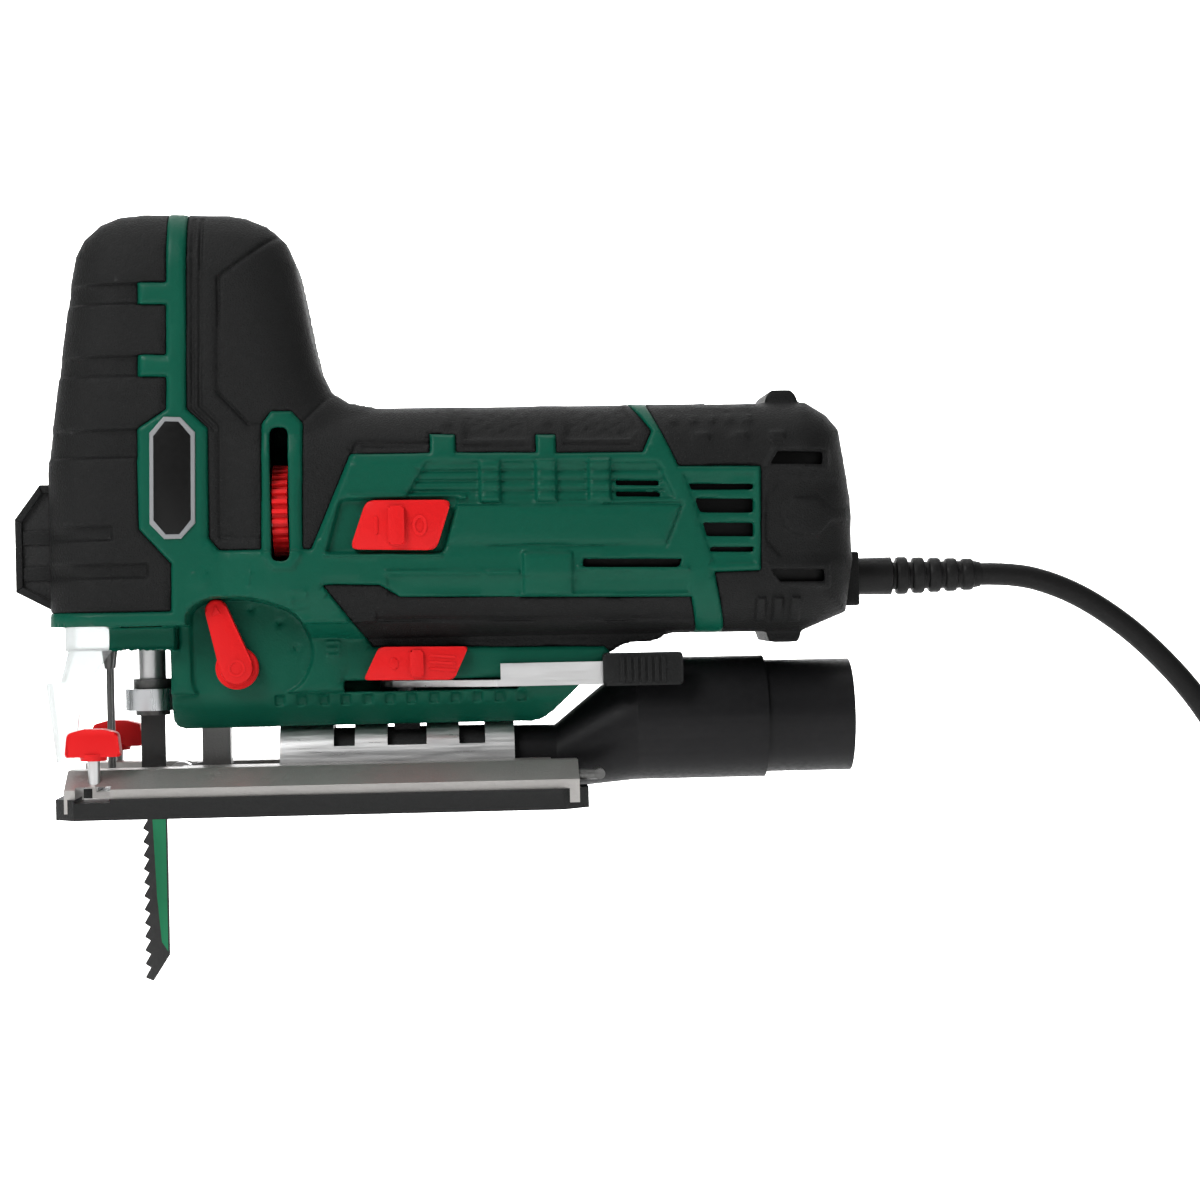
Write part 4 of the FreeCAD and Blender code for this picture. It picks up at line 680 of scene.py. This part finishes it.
# ---------------------------------------------------------------- controls
switch_low = span("main_switch")[0]
x0, z0 = switch_low[0], switch_low[2]
face = rounded([(x0 - 0.4, z0 + 0.6), (x0 + 25.4, z0 - 0.1), (x0 + 30.3, z0 + 14.9),
                (x0 + 4.7, z0 + 15.2)], 2.4)
switch = Part().plate(face, -34.6, -31, 0.7)
switch.plate(rounded(box_points(x0 + 11.2, x0 + 16, z0 + 1.8, z0 + 13.4), 0.8), switch_low[1], -33, 0.6)
switch.plate(rounded(box_points(x0 + 7, x0 + 8.1, z0 + 5, z0 + 10.4), 0.4), -34.9, -34, 0.2)
ring_out, ring_in = oval(x0 + 20.6, z0 + 7.4, 2.2, 3.1), oval(x0 + 20.6, z0 + 7.4, 1.3, 2.2)
loops = [[switch.mesh.verts.new((u * MM, v * MM, w * MM)) for u, w in loop]
         for v in (-34, -34.95) for loop in (ring_out, ring_in)]
for k in range(32):
    j = (k + 1) % 32
    for a, b in ((0, 2), (1, 3), (2, 3), (0, 1)):
        switch.mesh.faces.new((loops[a][k], loops[a][j], loops[b][j], loops[b][k]))
switch.done("switch_slider", "red_plastic", "switch", ["main_switch"])

blow_low = span("blower_slider")[0]
x0, z0 = blow_low[0], blow_low[2]
blower = Part().plate(rounded([(x0 - 0.3, z0 - 0.6), (x0 + 27.2, z0 - 1), (x0 + 31.8, z0 + 9),
                               (x0 + 4.6, z0 + 9.4)], 1.4),
                      -22.6, -19.2, 0.6)
blower.plate(rounded(box_points(x0 + 14, x0 + 18, z0 + 0.2, z0 + 8.2), 0.6), blow_low[1], -22, 0.5)
for z in (2.2, 4.2, 6.2):
    blower.plate(rounded([(x0 + 19.6, z0 + z), (x0 + 27.4, z0 + z - 0.8), (x0 + 28, z0 + z),
                          (x0 + 19.8, z0 + z + 0.8)], 0.3),
                 -22.9, -22.3, 0.15)
blower.plate(oval(x0 + 9, z0 + 4.2, 1.3, 2), -22.9, -22.2, 0.3)
blower.done("air_slider", "red_plastic", "blower", ["blower_slider"])

lever_low = span("pendulum_lever")[0]
pivot = (-25.8, 44.1)
tip = (-31.6, 61.7)
dial = Part().turned("Y", pivot, [(-19.3, 6.5), (-22.6, 6.5), (-23, 6.1)])
dial.plate(capsule(pivot, 5, tip, 3.3), lever_low[1], -20, 0.7)
dial.turned("Y", pivot, [(lever_low[1] + 0.2, 2.6), (lever_low[1] - 0.25, 2.6), (lever_low[1] - 0.25, 1.9),
                         (lever_low[1] + 0.1, 1.9)], 32)
dial.plate([(tip[0] - 1.1, tip[1] - 1.6), (tip[0] + 1.5, tip[1] - 1.2), (tip[0] - 0.1, tip[1] + 1.6)],
           lever_low[1] - 0.3, lever_low[1] + 0.1, 0.1)
dial.done("pendulum_selector", "red_plastic", "pendulum", ["pendulum_lever"])

wheel_low, wheel_high = span("speed_wheel")
hub = ((wheel_low[1] + wheel_high[1]) / 2, (wheel_low[2] + wheel_high[2]) / 2)
TEETH = 28
rim = []
for k in range(TEETH * 4):
    radius = 14 if k % 4 < 2 else 12.8
    angle = 2 * math.pi * (k + (0.25 if k % 2 else -0.25)) / (TEETH * 4)
    rim.append((hub[0] + radius * math.cos(angle), hub[1] + radius * math.sin(angle)))
Part().plate(rim, wheel_low[0], wheel_high[0], 0, "X").done("ribbed_wheel", "red_plastic", "wheel",
                                                            ["speed_wheel"])

# Blank plate on each side: grey rim, black field.
plate_low, plate_high = span("blank_plates")
u0, u1, w0, w1 = plate_low[0], plate_high[0], plate_low[2], plate_high[2]
octagon = [(u0, w0 + 4.6), (u0 + 4.3, w0), (u1 - 4.3, w0), (u1, w0 + 4.6), (u1 + 0.5, w1 - 4.6),
           (u1 - 3.8, w1),
           (u0 + 4.8, w1 + 0.2), (u0 + 0.5, w1 - 4.6)]
middle = Vector(((u0 + u1) / 2, (w0 + w1) / 2))
rims, fields = Part(), Part()
for way in (-1, 1):
    rims.plate(octagon, way * 31.2, way * 29, 0.4)
    inset = [tuple(middle + Vector(((p[0] - middle[0]) * 0.82,
                                    (p[1] - middle[1]) * 0.925))) for p in octagon]
    fields.plate(inset, way * 31.35, way * 29.5, 0.2)
rims.done("plate_rims", "label_grey", "housing", ["blank_plates"])
fields.done("plate_fields", "label_black", "housing", slot="label_grey")

# Front bumper: a flat-nosed octagon with a ribbed hollow side.
b0 = span("front_bumper")[0][0]
bumper = Part()
side = [(b0, 68.4), (b0, 90.6), (b0 + 7.7, 101), (NOSE + 2, 101), (NOSE + 2, 62.4), (NOSE + 0.8, 62.4)]
bumper.plate(rounded(side, 0.6), -12.4, 12.4, 0)
for way in (-1, 1):
    frame_in = [(b0 + 2.2, 69.9), (b0 + 2.2, 89.8), (b0 + 8.6, 98.6), (NOSE + 1, 98.6), (NOSE + 1, 65)]
    for a, b, c, d in ((side[0], side[1], frame_in[1], frame_in[0]),
                       (side[1], side[2], frame_in[2], frame_in[1]),
                       (side[2], side[3], frame_in[3], frame_in[2]),
                       (side[5], side[0], frame_in[0], frame_in[4])):
        bumper.plate([a, b, c, d], way * 14, way * 12, 0.5)
    for z in (71.8, 82.8):
        bumper.plate(box_points(b0 + 2.2, NOSE + 1, z, z + 4.2), way * 13.2, way * 12, 0.4)
bumper.done("nose_bumper", "black_grip", "housing", ["front_bumper"])

# Fence knobs: a wing with a domed top on a round skirt.
for name in ("left", "right"):
    low, high = span("fence_knob_" + name)
    mid = (low[1] + high[1]) / 2
    x0, x1, z0, z1 = low[0], high[0], low[2], high[2]
    centre = (x0 + x1) / 2
    wing = rounded([(x0, z0 + 1.2), (x1, z0 + 1.2), (x1 - 0.8, z1 - 1.2), (centre + 3, z1),
                    (centre - 3, z1),
                    (x0 + 0.8, z1 - 1.2)], 0.9)
    knob = Part().plate(wing, mid - 3.4, mid, 0.9)
    knob.plate(wing, mid + 3.4, mid, 0.9)
    knob.turned("Z", (centre, mid), [(z0, 3.9), (z0 + 1.6, 4.2), (z0 + 2, 4.2)])
    knob.done("wing_knob_" + name, "red_plastic", "knob_" + name, ["fence_knob_" + name])

# Clamp lever's handle: a block with upright ribs.
low, high = span("lever_handle")
handle = Part().plate(rounded(box_points(low[0], high[0], low[2], high[2]), 1.2), low[1], high[1], 0.9)
for k in range(7):
    x = low[0] + 5.2 + 2.1 * k
    handle.plate(rounded(box_points(x, x + 1.2, low[2] + 1, high[2] - 1), 0.4), low[1] - 0.6,
                 low[1] + 0.5, 0.3)
handle.done("ribbed_handle", "black_plastic", "lever", ["lever_handle"])

# Coloured stripe of the blade, on both faces below the base.
blade_low, blade_high = span("saw_blade")
stripe = Part()
stripe_points = [(blade_high[0] - 4.6, -2), (blade_high[0] - 0.5, -2),
                 (blade_high[0] - 0.5, blade_low[2] + 9),
                 (blade_high[0] - 2.4, blade_low[2] + 12), (blade_high[0] - 3.6, blade_low[2] + 26)]
for way in (-1, 1):
    stripe.plate(stripe_points, way * (blade_high[1] + 0.03), way * (blade_high[1] - 0.1), 0)
stripe.done("blade_stripe", "blade_green", "plunger", slot="dark_steel")

# ---------------------------------------------------------------- studio
FLOOR = before[0][2] - 0.0002
sweep = bpy.data.meshes.new("sweep")
outline = [(-3.0, FLOOR), (1.6, FLOOR)]
outline += [(1.6 + 0.8 * math.sin(a), FLOOR + 0.8 - 0.8 * math.cos(a)) for a in np.linspace(0.1, math.pi / 2, 12)]
outline += [(2.4, 4.0)]
sweep.from_pydata([(x, y, z) for y, z in outline for x in (-4, 4)], [],
                  [(2 * k, 2 * k + 1, 2 * k + 3, 2 * k + 2) for k in range(len(outline) - 1)])
sweep.shade_smooth()
backdrop = bpy.data.objects.new("sweep", sweep)
paper = surface("paper", (0.93, 0.93, 0.93), 0.9, grain=300, bump=0.02, mottle=0.01, edge_highlight=0)
socket(paper.node_tree.nodes["Principled BSDF"], "Emission Color", (1, 1, 1, 1))
socket(paper.node_tree.nodes["Principled BSDF"], "Emission Strength", 0.75)
sweep.materials.append(paper)
bpy.context.scene.collection.objects.link(backdrop)


def soft_light(name, place, aim, size, power):
    data = bpy.data.lights.new(name, "AREA")
    data.shape = "RECTANGLE"
    data.size, data.size_y = size
    data.energy = power
    lamp = bpy.data.objects.new(name, data)
    lamp.location = place
    lamp.rotation_euler = (Vector(aim) - Vector(place)).to_track_quat("-Z", "Y").to_euler()
    bpy.context.scene.collection.objects.link(lamp)


soft_light("key", (-0.55, -0.75, 0.85), (0.02, 0, 0.09), (0.5, 0.5), 15)
soft_light("fill", (0.9, -1.0, 0.35), (0.06, 0, 0.06), (0.8, 0.8), 1.5)
soft_light("top", (0.05, 0.15, 1.1), (0.03, 0, 0.08), (1.2, 0.8), 8)
soft_light("back", (0.1, 1.0, 0.9), (0.1, 2.3, 0.4), (2.0, 1.0), 60)
world = bpy.data.worlds.new("studio")
world.use_nodes = True
socket(world.node_tree.nodes["Background"], "Color", (1, 1, 1, 1))
socket(world.node_tree.nodes["Background"], "Strength", 0.14)
bpy.context.scene.world = world
bpy.context.scene.view_settings.view_transform = "Standard"
